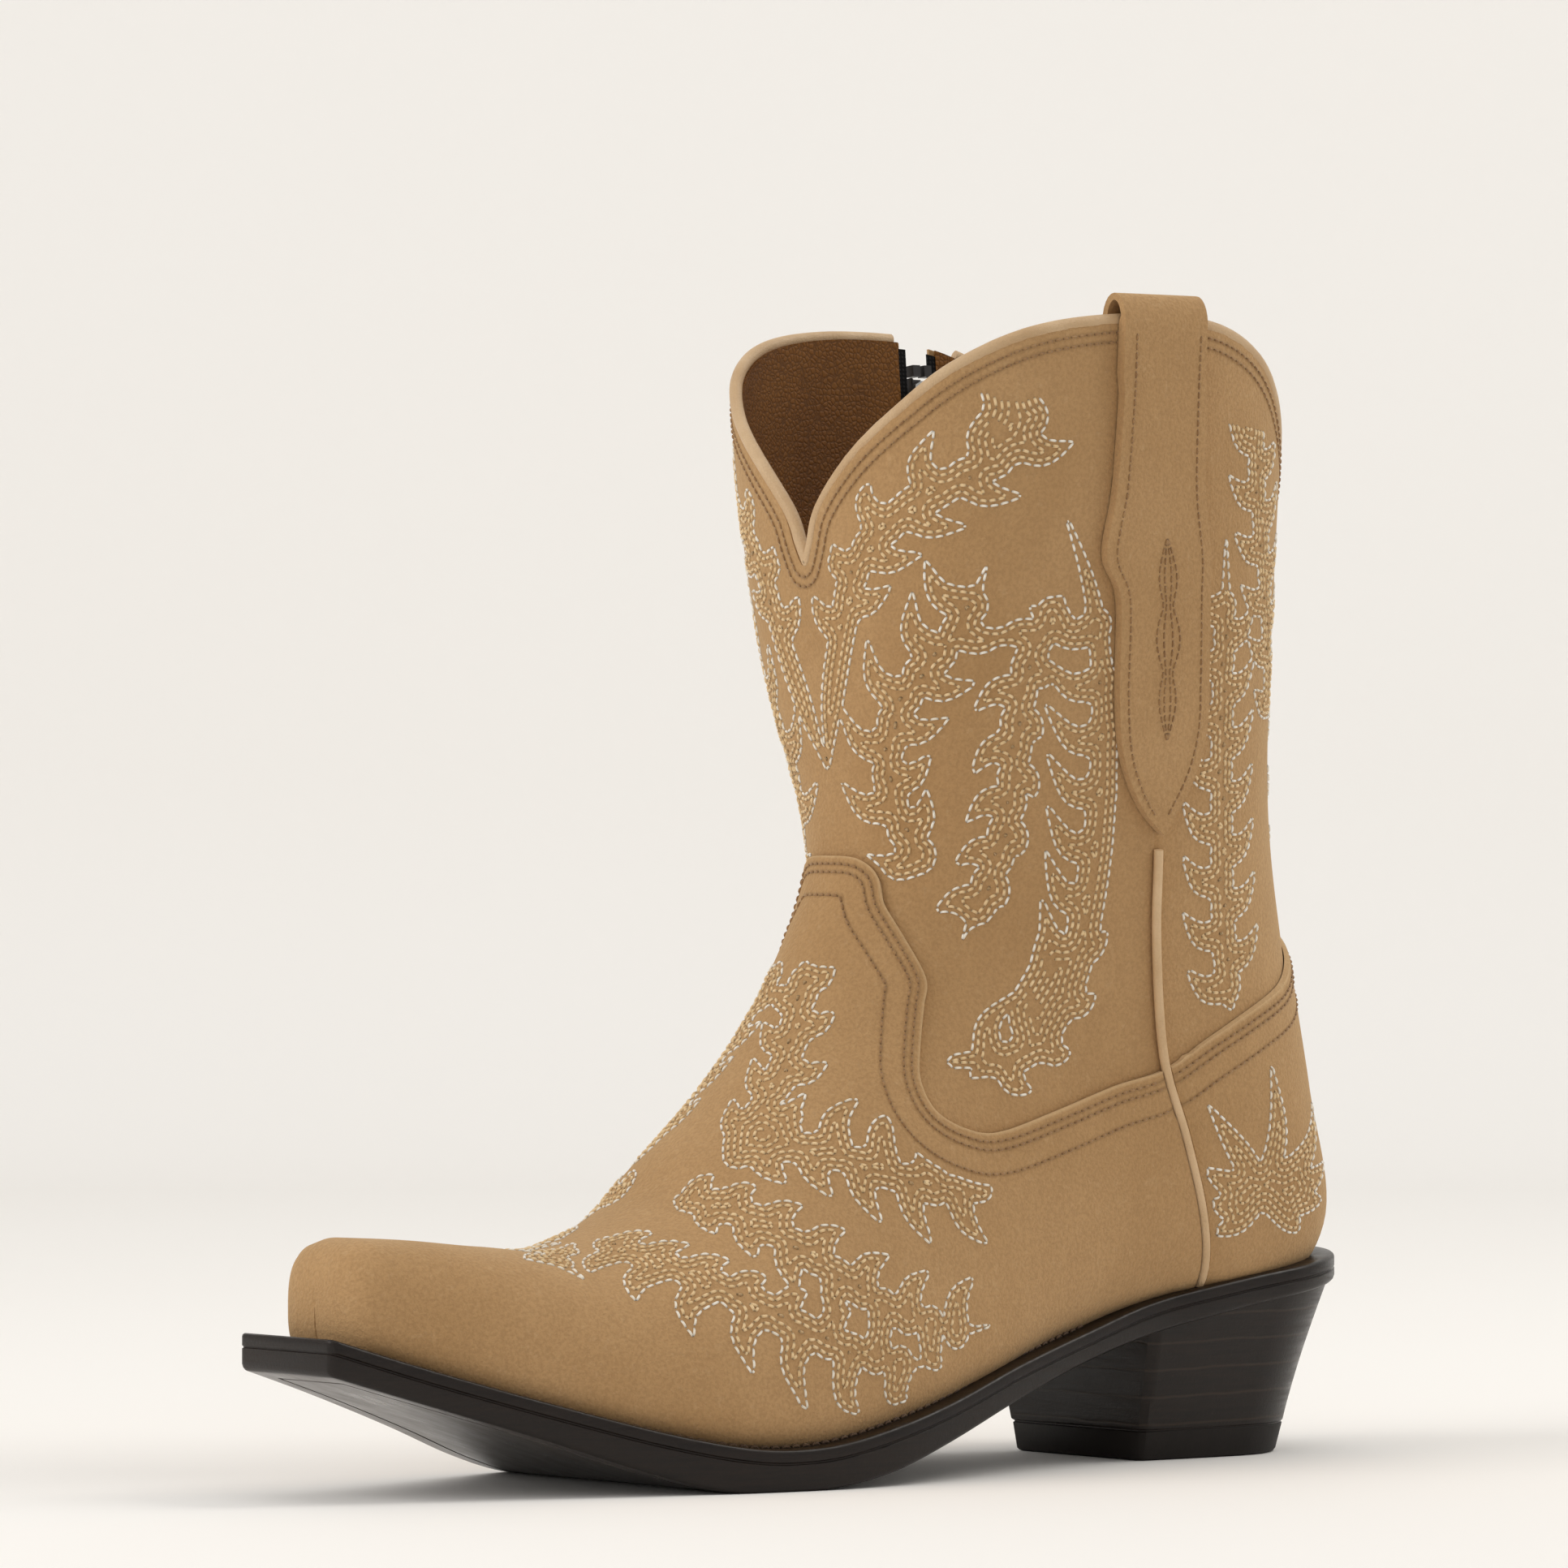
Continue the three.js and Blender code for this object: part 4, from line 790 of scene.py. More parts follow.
def make_upper():
    shaft = [tucked, below_collar, beside_zip]
    panels = [  # name, bounds, grid's first angle and t
        ("vamp", [below_vamp_line, in_front, sunk], FRONT_START, -1.0),
        ("heel_counter", [below_vamp_line, behind, sunk], BACK_START, COUNTER_START),
        ("shaft_front_panel", shaft + [before_seams], FRONT_START, COUNTER_START),
        ("shaft_back_panel", shaft + [behind_seams], BACK_START, COUNTER_START),
    ]
    for name, bounds, low, t_low in panels:
        surface = skin(SKIN_STEP, SKIN_COLUMNS, low, bounds, t_low)
        if name.startswith("shaft"):
            material, inset, marks = "suede_shaft", SHAFT_INSET, {"collar": below_collar}
        else:
            material, inset, marks = "suede_vamp", UPPER_INSET, {"edge": below_vamp_line}
        leather_panel(name, MATERIALS[material], "suede", [name], surface, inset, LEATHER, marks)
    linings = (("front", "vamp_lining", before_seams, FRONT_START, -1.0),
               ("back", "heel_lining", behind_seams, BACK_START, COUNTER_START))
    for half, low_node, side, low, t_low in linings:
        surface = skin(2.0, 200, low, [below_collar, side, above_sole, lining_slot], t_low)
        leather_panel("lining_" + half, MATERIALS["lining_leather"], "lining_leather",
                      ["shaft_lining_" + half, low_node], surface, LINING_INSET, LINING_THICKNESS)


def make_tapes():
    """The tapes in front of (1) and behind (-1) the chain, following the form."""
    for side, name in ((1, "zip_tape_front"), (-1, "zip_tape_back")):
        low = FRONT_START if side > 0 else FRONT_START - math.pi

        def beside_chain(points, side=side):
            across = side * (ZIP_Y - points[..., 1])
            tape = np.minimum(across - TAPE_EDGE, TAPE_EDGE + TAPE_WIDTH - across)
            return np.where(points[..., 0] < 0, tape, -9.0)

        bounds = [lambda p: below_collar(p) - 1.5, beside_chain, lambda p: p[..., 2] - TAPE_END_Z]
        leather_panel(name, MATERIALS["zip_tape"], "zip_tape", [name], skin(1.2, 300, low, bounds, 8.0),
                      TAPE_INSET, TAPE_THICKNESS, rim_drop=0.1)


def make_piping():
    """The bead round the collar, open at the zip."""
    zip_s = -WRAP_RADIUS * math.atan2(ZIP_TOP_X, -(ZIP_Y - AXIS_Y))
    line = both_sides(smooth(COLLAR, 10))[:-1]
    line = np.roll(line, -np.argmin(np.abs(line[:, 0] - zip_s)), axis=0)
    line = line[np.abs(line[:, 0] - zip_s) > PIPING_GAP]
    middle = (SHAFT_INSET + LINING_INSET + LINING_THICKNESS) / 2
    points = np.array([on_shaft(s, z - PIPING_RADIUS) for s, z in line])
    points -= outward(points) * middle
    cord_piece("collar_piping", points, PIPING_RADIUS, MATERIALS["smooth_leather"])


def make_beads():
    for name, side, seam, top, inset in (
            ("outer_seam_bead", 1, OUTER_SEAM, OUTER_BEAD_TOP, BEAD_INSETS[0]),
            ("inner_seam_bead", -1, INNER_SEAM, INNER_BEAD_TOP, BEAD_INSETS[1])):
        line = [(y, z) for y, z in smooth(seam, 12) if BEAD_BOTTOM < z < top]
        points = np.array([on_side(side, y, z) for y, z in line])
        cord_piece(name, points - outward(points) * inset, SEAM_BEAD_RADIUS, MATERIALS["bead"], 10)


def strap_rows():
    """The strap's outer and inner face, as rows from its point, over the collar and down inside."""
    front = smooth(STRAP_FRONT_EDGE, 10)
    back = smooth([STRAP_FRONT_EDGE[0]] + STRAP_BACK_EDGE[::-1], 10)
    across = np.linspace(0, 1, STRAP_COLUMNS)
    ys = STRAP_TOP_Y[0] + (STRAP_TOP_Y[1] - STRAP_TOP_Y[0]) * across
    outer, inner = [], []

    def side_x(z):
        return np.array([on_side(1, y, z)[0] for y in ys])

    def level_row(x, z):
        return np.stack([x, ys, np.full(STRAP_COLUMNS, z)], -1)

    for z in np.concatenate([np.linspace(144.5, 160, 14), np.linspace(162, 244, 42)]):
        first, last = np.interp(z, front[:, 1], front[:, 0]), np.interp(z, back[:, 1], back[:, 0])
        places = np.array([on_shaft(first + (last - first) * f, z) for f in across])
        normals = outward(places)
        outer.append(places - STRAP_OUTSIDE[0] * normals)
        inner.append(places - STRAP_OUTSIDE[1] * normals)
    for z in np.linspace(249, STRAP_BEND_Z, 6):
        outer.append(level_row(side_x(z) - STRAP_OUTSIDE[0], z))
        inner.append(level_row(side_x(z) - STRAP_OUTSIDE[1], z))
    middle = side_x(STRAP_BEND_Z) - (STRAP_OUTSIDE[0] + STRAP_INSIDE[1]) / 2
    reach, rise = (STRAP_INSIDE[1] - STRAP_OUTSIDE[0]) / 2, STRAP_TOP_Z - STRAP_BEND_Z
    for turn in np.linspace(0, math.pi, 13)[1:-1]:
        for rows, less in ((outer, 0.0), (inner, STRAP_INSIDE[1] - STRAP_INSIDE[0])):
            x = middle + (reach - less) * math.cos(turn)
            rows.append(level_row(x, STRAP_BEND_Z + (rise - less) * math.sin(turn)))
    for z in np.linspace(STRAP_BEND_Z, STRAP_END_Z, 14):
        outer.append(level_row(side_x(z) - STRAP_INSIDE[1], z))
        inner.append(level_row(side_x(z) - STRAP_INSIDE[0], z))
    return np.array(outer), np.array(inner)


def sheet_solid(outer, inner):
    """Vertices and quads of a closed sheet between two grids of points."""
    index = np.arange(outer.shape[0] * outer.shape[1]).reshape(outer.shape[:2])
    quads = grid_quads(index)
    rim = np.concatenate([index[0], index[1:, -1], index[-1, -2::-1], index[-2:0:-1, 0]])
    side = np.stack([rim, rim + index.size, np.roll(rim, -1) + index.size, np.roll(rim, -1)], -1)
    faces = np.vstack([quads, quads[:, ::-1] + index.size, side])
    return np.vstack([outer.reshape(-1, 3), inner.reshape(-1, 3)]), faces


def make_strap():
    vertices, faces = sheet_solid(*strap_rows())
    strap = piece("pull_strap", vertices, faces, MATERIALS["suede"], "suede", ["pull_strap"])
    bevel = strap.modifiers.new("rounded rims", "BEVEL")
    bevel.width, bevel.segments = 0.35 * MM, 2
    bevel.limit_method, bevel.angle_limit = "ANGLE", math.radians(50)


# ---------------------------------------------------------------- the sole and the heel

def sole_half(edge, y, inset):
    """Half width of the sole's outline at y, drawn in by inset."""
    line = smooth(edge)
    half = np.interp(y, line[:, 1], line[:, 0]) - inset
    arc = np.sqrt(np.maximum((SEAT_RADIUS - inset) ** 2 - (y - SEAT_Y) ** 2, 0.01))
    half = np.where(y > SEAT_Y, arc, half)
    corner = max(2.2 - inset, 0.6)
    into = np.clip((TOE_EDGE[1] + inset + corner - y) / corner, 0, 1)
    return half - corner * (1 - np.sqrt(1 - into ** 2))


def sole_loop(inset):
    """The sole's outline drawn in by inset, as (outer side points, inner side points)."""
    start = TOE_EDGE[1] + inset
    corner = start + 2.4 * (1 - np.cos(np.linspace(0, math.pi / 2, 7)))[:-1]
    straight = np.linspace(start + 2.4, SEAT_Y, 100)
    arc = SEAT_Y + (SEAT_RADIUS - inset) * np.sin(np.linspace(0, math.pi / 2, 26))[1:]
    y = np.concatenate([corner, straight, arc])
    outer = np.stack([sole_half(SOLE_OUTER_EDGE, y, inset), y], -1)
    inner = np.stack([-sole_half(SOLE_INNER_EDGE, y, inset), y], -1)
    return outer, inner


def loft(loops, across=10):
    """A closed solid through loops of (outer side, inner side) points, its two ends capped by ribs.

    The faces run loop by loop, then the first cap, then the last cap.
    """
    rings = np.array([np.vstack([outer, inner[::-1]]) for outer, inner in loops])
    index = np.arange(rings.shape[0] * rings.shape[1]).reshape(rings.shape[:2])
    vertices, faces = [rings.reshape(-1, 3)], [ring_quads(index)]
    base = index.size
    for row, flip in ((0, True), (-1, False)):
        outer, inner = loops[row]
        share = np.linspace(0, 1, across + 1)[None, 1:-1, None]
        ribs = outer[:, None] * (1 - share) + inner[:, None] * share
        middle = np.arange(len(outer) * (across - 1)).reshape(len(outer), across - 1) + base
        first, last = index[row, :len(outer)], index[row, ::-1][:len(outer)]
        quads = grid_quads(np.column_stack([first, middle, last]))
        faces.append(quads if flip else quads[:, ::-1])
        vertices.append(ribs.reshape(-1, 3))
        base += middle.size
    return np.vstack(vertices), np.vstack(faces)


def make_sole():
    """Welt, outsole and tread pad, with a scored line between welt and outsole and one round the pad."""
    welt = WELT_THICKNESS
    profile = [  # (line, inset, below the sole's top or above the tread)
        ("top", 11, 0.1), ("top", 5, 0), ("top", 1.3, 0), ("top", 0.6, 0.12), ("top", 0.15, 0.5),
        ("top", 0, 1.0), ("top", 0, welt - 0.4), ("top", 0.35, welt - 0.12), ("top", 0.35, welt + 0.12),
        ("top", 0, welt + 0.4), ("tread", 0, 1.3), ("tread", 0.25, 0.6), ("tread", 0.8, 0.12),
        ("tread", 1.6, 0.0), ("tread", 4, 0.0), ("tread", PAD_INSET - 0.5, 0.0),
        ("pad", PAD_INSET - 0.2, 0.5), ("pad", PAD_INSET + 0.2, 0.5), ("tread", PAD_INSET + 0.5, 0.0),
        ("tread", PAD_INSET + 4, 0.0),
    ]
    loops = []
    for line, inset, away in profile:
        sides = []
        for side in sole_loop(inset):
            y = side[:, 1]
            fade = np.clip((PAD_END_Y - y) / 10, 0, 1) if line == "pad" else 1.0
            z = line_z(SOLE_TOP, y) - away if line == "top" else line_z(TREAD, y) + away * fade
            sides.append(np.column_stack([side, z]))
        loops.append(sides)
    vertices, faces = loft(loops)
    nodes = ["welt", "heel_seat", "outsole", "forepart_pad"]
    sole = piece("sole", vertices, faces, MATERIALS["sole_leather"], "sole_leather", nodes, smooth_angle=42)
    sole.data.materials.append(MATERIALS["tread_leather"])
    ring = 2 * len(loops[0][0])
    walls = (len(profile) - 1) * ring
    first_tread, last_cap = 13 * ring, walls + (len(faces) - walls) // 2
    index = np.zeros(len(faces), np.int32)
    index[first_tread:walls] = 1
    index[last_cap:] = 1
    sole.data.polygons.foreach_set("material_index", index)


def heel_loop(level, grow=0.0):
    """The heel's outline at a level from the ground (0) to the seat (1)."""
    size = {key: low + (HEEL_SEAT[key] - low) * level for key, low in HEEL_GROUND.items()}
    waist = 0.9 * math.sin(math.pi * level)
    radius = size["radius"] - waist + grow
    turn = np.linspace(0, math.pi / 2, 26)[1:]
    front = np.linspace(size["breast_y"] - grow, size["back_y"], 24)
    corner = 1.4
    share = (front - front[0]) / (front[-1] - front[0])
    narrow = size["breast_half"] + grow
    half = narrow + (radius - narrow) * np.sin(share * math.pi / 2)
    half -= corner * (1 - np.sqrt(1 - np.clip((front[0] + corner - front) / corner, 0, 1) ** 2))
    x = np.concatenate([half, np.maximum(radius * np.cos(turn), 0.1)])
    y = np.concatenate([front, size["back_y"] + radius * np.sin(turn)])
    return np.stack([x, y], -1)


def make_heel():
    """The stacked heel; a scored line parts the rubber top piece from the leather lifts."""
    top_piece = TOP_PIECE_HEIGHT
    heights = [(0.05, -0.9), (0.3, -0.3), (0.8, 0.0), (top_piece - 0.35, 0.0), (top_piece - 0.1, -0.3),
               (top_piece + 0.15, -0.3), (top_piece + 0.4, 0.0)]
    levels = [(z / HEEL_HEIGHT, z, grow) for z, grow in heights]
    levels += [(f, None, 0.0) for f in np.linspace(0.25, 1, 14)]
    loops = []
    for level, height, grow in levels:
        side = heel_loop(level, grow)
        z = line_z(TREAD, side[:, 1]) + 0.3
        z = np.full(len(z), height) if height is not None else level * z
        outer = np.column_stack([side, z])
        loops.append([outer, outer * (-1, 1, 1)])
    vertices, faces = loft(loops)
    nodes = ["heel_lift_1", "heel_lift_2", "heel_lift_3", "heel_wedge", "heel_top_piece"]
    heel = piece("heel_stack", vertices, faces[:, ::-1], MATERIALS["heel_leather"], "sole_leather", nodes,
                 smooth_angle=42)
    heel.data.materials.append(MATERIALS["rubber"])
    centre_z = vertices[faces][:, :, 2].mean(1)
    heel.data.polygons.foreach_set("material_index", (centre_z < top_piece).astype(np.int32))


def make_footbed():
    """The padded bed under the foot, thinner and rolled down at its rim."""
    across = np.linspace(-1, 1, 25)
    flat = np.zeros(25)
    top, bottom = [], []
    for y in np.linspace(*FOOTBED_ENDS, 60):
        z = line_z(SOLE_TOP, y) + FOOTBED_BASE
        right, left = (on_side(side, y, z + 2)[0] - side * FOOTBED_MARGIN for side in (1, -1))
        x = (right + left) / 2 + across * (right - left) / 2
        top.append(np.column_stack([x, flat + y, z + FOOTBED_THICKNESS * (1 - 0.6 * np.abs(across) ** 6)]))
        bottom.append(np.column_stack([x, flat + y, flat + z]))
    vertices, faces = sheet_solid(np.array(top), np.array(bottom))
    piece("footbed", vertices, faces, MATERIALS["lining_leather"], "lining_leather", ["footbed"])


# ---------------------------------------------------------------- sewing

def contours(t, angle, tris, value, level):
    """The lines where value equals level, each as rows of (t, angle)."""
    high = value[tris] > level
    count = high.sum(1)
    cut = tris[(count == 1) | (count == 2)]
    high = value[cut] > level
    odd = np.where((high.sum(1) == 1)[:, None], high, ~high).argmax(1)
    rows = np.arange(len(cut))
    tip, left, right = cut[rows, odd], cut[rows, (odd + 1) % 3], cut[rows, (odd + 2) % 3]
    ends = []
    for other in (left, right):
        a, b = np.minimum(tip, other), np.maximum(tip, other)
        share = (level - value[a]) / (value[b] - value[a])
        places = t[a] + share * (t[b] - t[a]), angle[a] + share * (angle[b] - angle[a])
        ends.append((a * len(t) + b, *places))
    places, links = {}, {}
    for k in rows:
        keys = [int(end[0][k]) for end in ends]
        for key, end in zip(keys, ends):
            places[key] = (end[1][k], end[2][k])
        links.setdefault(keys[0], []).append(keys[1])
        links.setdefault(keys[1], []).append(keys[0])
    lines, seen = [], set()
    for first in sorted(links, key=lambda key: len(links[key])):
        if first in seen:
            continue
        seen.add(first)
        line, here = [first], first
        while True:
            onward = [key for key in links[here] if key not in seen]
            if not onward:
                break
            here = onward[0]
            seen.add(here)
            line.append(here)
        if len(line) > 3 and line[0] in links[line[-1]]:
            line.append(line[0])
        lines.append(np.array([places[key] for key in line]))
    return lines


def even_places(line, pitch, shortest):
    """Places along a line of (t, angle) that are evenly spaced by about the pitch."""
    run = run_along(form(line[:, 0], line[:, 1]))
    if run[-1] < shortest:
        return None
    at = np.linspace(0, run[-1], max(int(round(run[-1] / pitch)), 1) + 1)
    return np.interp(at, run, line[:, 0]), np.interp(at, run, line[:, 1])


STITCH = (  # (place along, thickness, height) of the six rings of a stitch
    (0.0, 0.72, -0.55), (0.13, 0.92, 0.25), (0.34, 1.0, 1.0), (0.66, 1.0, 1.0), (0.87, 0.92, 0.25),
    (1.0, 0.72, -0.55),
)
STITCH_RISE = 0.75
STITCH_HOLE_SHADE = (1.0, 0.3, 0.0, 0.0, 0.3, 1.0)  # painted shade of the six rings, darkest at the stitch's ends where the thread goes down into the needle holes


class Sewing:
    """Collects stitches and makes them into one piece."""

    def __init__(self):
        self.starts, self.ends, self.ups = [], [], []

    def row(self, points, ups):
        self.starts.append(points[:-1])
        self.ends.append(points[1:])
        self.ups.append((ups[:-1] + ups[1:]) / 2)

    def lines(self, lines, inset, pitch, shortest=4.0):
        for line in lines:
            places = even_places(line, pitch, shortest)
            if places is None:
                continue
            points = form(*places, inset)
            self.row(points, form(*places, inset - 1.0) - points)

    def make(self, name, radius, material, gap):
        """Each stitch is a bowed cord whose ends go down into the leather."""
        a, b, up = (np.concatenate(parts) for parts in (self.starts, self.ends, self.ups))
        along = unit(b - a)
        length = np.linalg.norm(b - a, axis=1)[:, None]
        up = unit(up - along * (up * along).sum(1)[:, None])
        turn = np.linspace(0, 2 * math.pi, 6, endpoint=False)[:, None]
        ring = np.cross(along, up)[:, None] * np.cos(turn) + up[:, None] * np.sin(turn)
        rings = []
        for f, size, high in STITCH:
            middle = a + along * (gap / 2 + f * (length - gap)) + up * radius * STITCH_RISE * high
            rings.append(middle[:, None] + radius * size * ring)
        points = np.stack(rings, 1)
        count = len(a)
        index = np.arange(count * 36).reshape(count, 6, 6)
        here, there = index[:, :-1], index[:, 1:]
        side = np.stack([here, np.roll(here, -1, 2), np.roll(there, -1, 2), there], -1).reshape(-1, 4)
        first, last = index[:, 0], index[:, -1]
        caps = [first[:, :4], first[:, [0, 3, 4, 5]], last[:, 3::-1], last[:, [5, 4, 3, 0]]]
        faces = np.vstack([side[:, ::-1]] + caps)
        # painted shade per ring, darkest in the needle holes at the stitch's ends
        hole = np.tile(np.repeat(STITCH_HOLE_SHADE, 6), count)
        return piece(name, points.reshape(-1, 3), faces, material, "suede", smooth_angle=180,
                     attributes={"hole": hole})


def fine_grid(step, t_range, angle_range):
    """A fine patch of the form: (t, angle, triangles, points)."""
    dense = np.linspace(*t_range, 400)
    run = run_along(form(dense, sum(angle_range) / 2))
    levels = np.interp(np.arange(0, run[-1], step), run, dense)
    dense = np.linspace(*angle_range, 2000)
    run = run_along(form(sum(t_range) / 2, dense))
    angles = np.interp(np.arange(0, run[-1], step), run, dense)
    t, angle, tris = triangle_grid(levels, angles)
    return t, angle, tris[:, ::-1], form(t, angle)


def edge_rows():
    """Rows along the upper edge of the vamp and the counter, along the collar and beside the zip."""
    pitch = 2.1
    seams = Sewing()
    designs = (  # (t range, distance, rows, inset, where there are none)
        ((4.0, 14.0), below_vamp_line, VAMP_ROWS, UPPER_INSET,
         lambda p, side: side * before_seams(p) < 2.4),
        ((12.5, 16.0), below_collar, COLLAR_ROWS, SHAFT_INSET,
         lambda p, side: (side * before_seams(p) < 0.0) | (beside_zip(p) < 1.5)),
    )
    for t_range, distance, rows, inset, left_out in designs:
        for side, angle_range in ((1, (-2.6, 2.6)), (-1, (0.6, 2 * math.pi - 0.6))):
            t, angle, tris, points = fine_grid(1.3, t_range, angle_range)
            value = distance(points)
            value[left_out(points, side)] = np.nan
            kept = tris[~np.isnan(value[tris]).any(1)]
            for row in rows:
                seams.lines(contours(t, angle, kept, value, row), inset + THREAD_INSET, pitch)
    for side in (-1, 1):
        y = ZIP_Y + side * (ZIP_OPENING / 2 + 2.2)
        line = np.array([on_side(-1, y, z) for z in np.arange(ZIP_LOWEST - 2, 252, pitch)])
        ups = outward(line)
        seams.row(line - ups * (SHAFT_INSET + THREAD_INSET), ups)
    seams.make("edge_stitching", 0.3, MATERIALS["seam_thread"], 0.45)


# ---------------------------------------------------------------- flame embroidery

class Flames:
    """Tapered curved tongues laid on the form; their union is what gets outlined and filled."""

    def __init__(self):
        self.tongues = []

    def tongue(self, place, spine, radii):
        """A tongue as wide as the radii; place turns its spine's plane points into places on the form."""
        line = smooth(np.column_stack([spine, radii]), 6)
        self.tongues.append((np.array([place(a, b) for a, b in line[:, :2]]), line[:, 2]))

    def plume(self, place, spine, width, reach):
        """A tongue with evenly spaced hooked barbs; reach is their length on its left and right."""
        line = smooth(spine, 12)
        run = run_along(line)
        share = np.linspace(0, 1, len(spine))
        self.tongue(place, spine, width * np.minimum(1, 0.35 + 2.5 * share) * (1.02 - share ** 4))

        def along(at):
            return np.array([np.interp(at, run, line[:, 0]), np.interp(at, run, line[:, 1])])

        for side, length in zip((1, -1), reach):
            if not length:
                continue
            first = BARBS_FROM * run[-1] + (BARB_PITCH / 2 if side < 0 else 0)
            for at in np.arange(first, BARBS_TO * run[-1], BARB_PITCH):
                foot = along(at)
                ahead = along(at + 0.5) - along(at - 0.5)
                ahead /= max(np.hypot(*ahead), 1e-6)
                aside = side * np.array([-ahead[1], ahead[0]])
                long = width + length * (0.75 + 0.25 * math.sin(math.pi * at / run[-1]))
                middle = foot + 0.5 * long * (aside + BARB_BELLY * ahead)
                tip = foot + long * (0.92 * aside + BARB_LEAN * ahead)
                self.tongue(place, [foot - ahead, middle, tip], [BARB_ROOT, 0.7 * BARB_ROOT, 0.1])

    def depth(self, points):
        """How far inside the union of tongues each point is; negative outside."""
        best = np.full(len(points), -5.0)
        for line, radii in self.tongues:
            low, high = line.min(0) - radii.max() - 2, line.max(0) + radii.max() + 2
            near = np.flatnonzero(((points > low) & (points < high)).all(1))
            some = points[near]
            for p, q, r, s in zip(line[:-1], line[1:], radii[:-1], radii[1:]):
                pq = q - p
                f = np.clip((some - p) @ pq / max(pq @ pq, 1e-9), 0, 1)
                inside = r + (s - r) * f - np.linalg.norm(some - p - f[:, None] * pq, axis=1)
                best[near] = np.maximum(best[near], inside)
        return best


def embroider(flames, bounds, t_range, angle_range, inset, white, tan):
    """White outline of the tongues' union within the bounds, and tan rows inside that follow it."""
    t, angle, tris, points = fine_grid(0.6, t_range, angle_range)
    depth = flames.depth(points)
    touched = np.flatnonzero(depth > -1)
    for bound in bounds:
        depth[touched] = np.minimum(depth[touched], bound(points[touched]))
    outline = [line for line in contours(t, angle, tris, depth, 0.0)
               if run_along(form(line[:, 0], line[:, 1]))[-1] > SMALLEST_OUTLINE]
    white.lines(outline, inset, 2.5, 6.0)
    edge = np.vstack([form(line[:, 0], line[:, 1]) for line in outline])
    tree = KDTree(len(edge))
    for k, place in enumerate(edge):
        tree.insert(place, k)
    tree.balance()
    from_edge = np.full(len(t), -1.0)
    inside = np.flatnonzero(depth > 0)
    from_edge[inside] = [tree.find(points[k])[2] for k in inside]
    filled = tris[(from_edge[tris] > -0.5).all(1)]
    for k in range(1, 9):
        tan.lines(contours(t, angle, filled, from_edge, k * FILLING_PITCH - 0.25), inset, 2.2, 3.0)


FILLING_PITCH = 1.45
SMALLEST_OUTLINE = 18.0  # smaller gaps between barbs get no outline
BARB_PITCH, BARBS_FROM, BARBS_TO = 12.5, 0.06, 0.9  # where barbs grow, as shares of the plume's length
BARB_ROOT, BARB_BELLY, BARB_LEAN = 4.1, -0.1, 0.48
VAMP_PLUMES = [  # (spine, width, barb length left and right); points are (round from the ridge, along)
    ([(15, 102), (15, 118), (11, 134), (5, 153)], 2.8, (9, 9)),
    ([(16, 96), (28, 110), (43, 124), (55, 138), (62, 154)], 3.0, (11, 7)),
    ([(10, 80), (27, 87), (46, 98), (64, 114), (78, 137)], 2.8, (7, 7)),
    ([(7, 63), (22, 64), (39, 71), (53, 83), (66, 101), (76, 122)], 3.4, (5, 12)),
    ([(2, 60), (10, 52), (20, 48), (32, 50)], 2.4, (0, 6)),
]
SHAFT_PLUMES = [  # the same, as (distance round, Z)
    ([(9, 189), (14, 205), (24, 217), (37, 226), (47, 234), (49, 250)], 3.8, (9, 7)),
    ([(24, 138), (17, 152), (18, 167), (25, 180), (34, 191), (40, 206)], 3.4, (11, 8)),
    ([(55, 198), (49, 186), (46, 172), (45, 156), (41, 140), (31, 120)], 3.0, (4, 8)),
    ([(32, 94), (50, 97), (63, 110), (69, 130), (70, 153), (68, 176), (63, 198), (55, 218)], 4.2, (14, 0)),
    ([(36, 91), (52, 96), (64, 109), (69, 128)], 3.0, (0, 7)),
]
FRONT_STEM = ([(0, 160), (4.5, 175), (9, 189), (12, 199)], [0.3, 3.4, 3.8, 3.8])
BACK_PLUMES = [
    ([(127, 172), (121, 190), (115, 208), (110, 225), (107, 244)], 3.2, (8, 9)),
    ([(116, 104), (112, 124), (109, 146), (106, 168), (103, 190), (100, 214)], 3.6, (10, 9)),
    ([(152, 130), (144, 146), (140, 162), (141, 180), (148, 200)], 3.2, (8, 8)),
]
FAN_ROOT, FAN_RADII = (124, 62), (14, 30)  # the fan's shortest and longest barbs


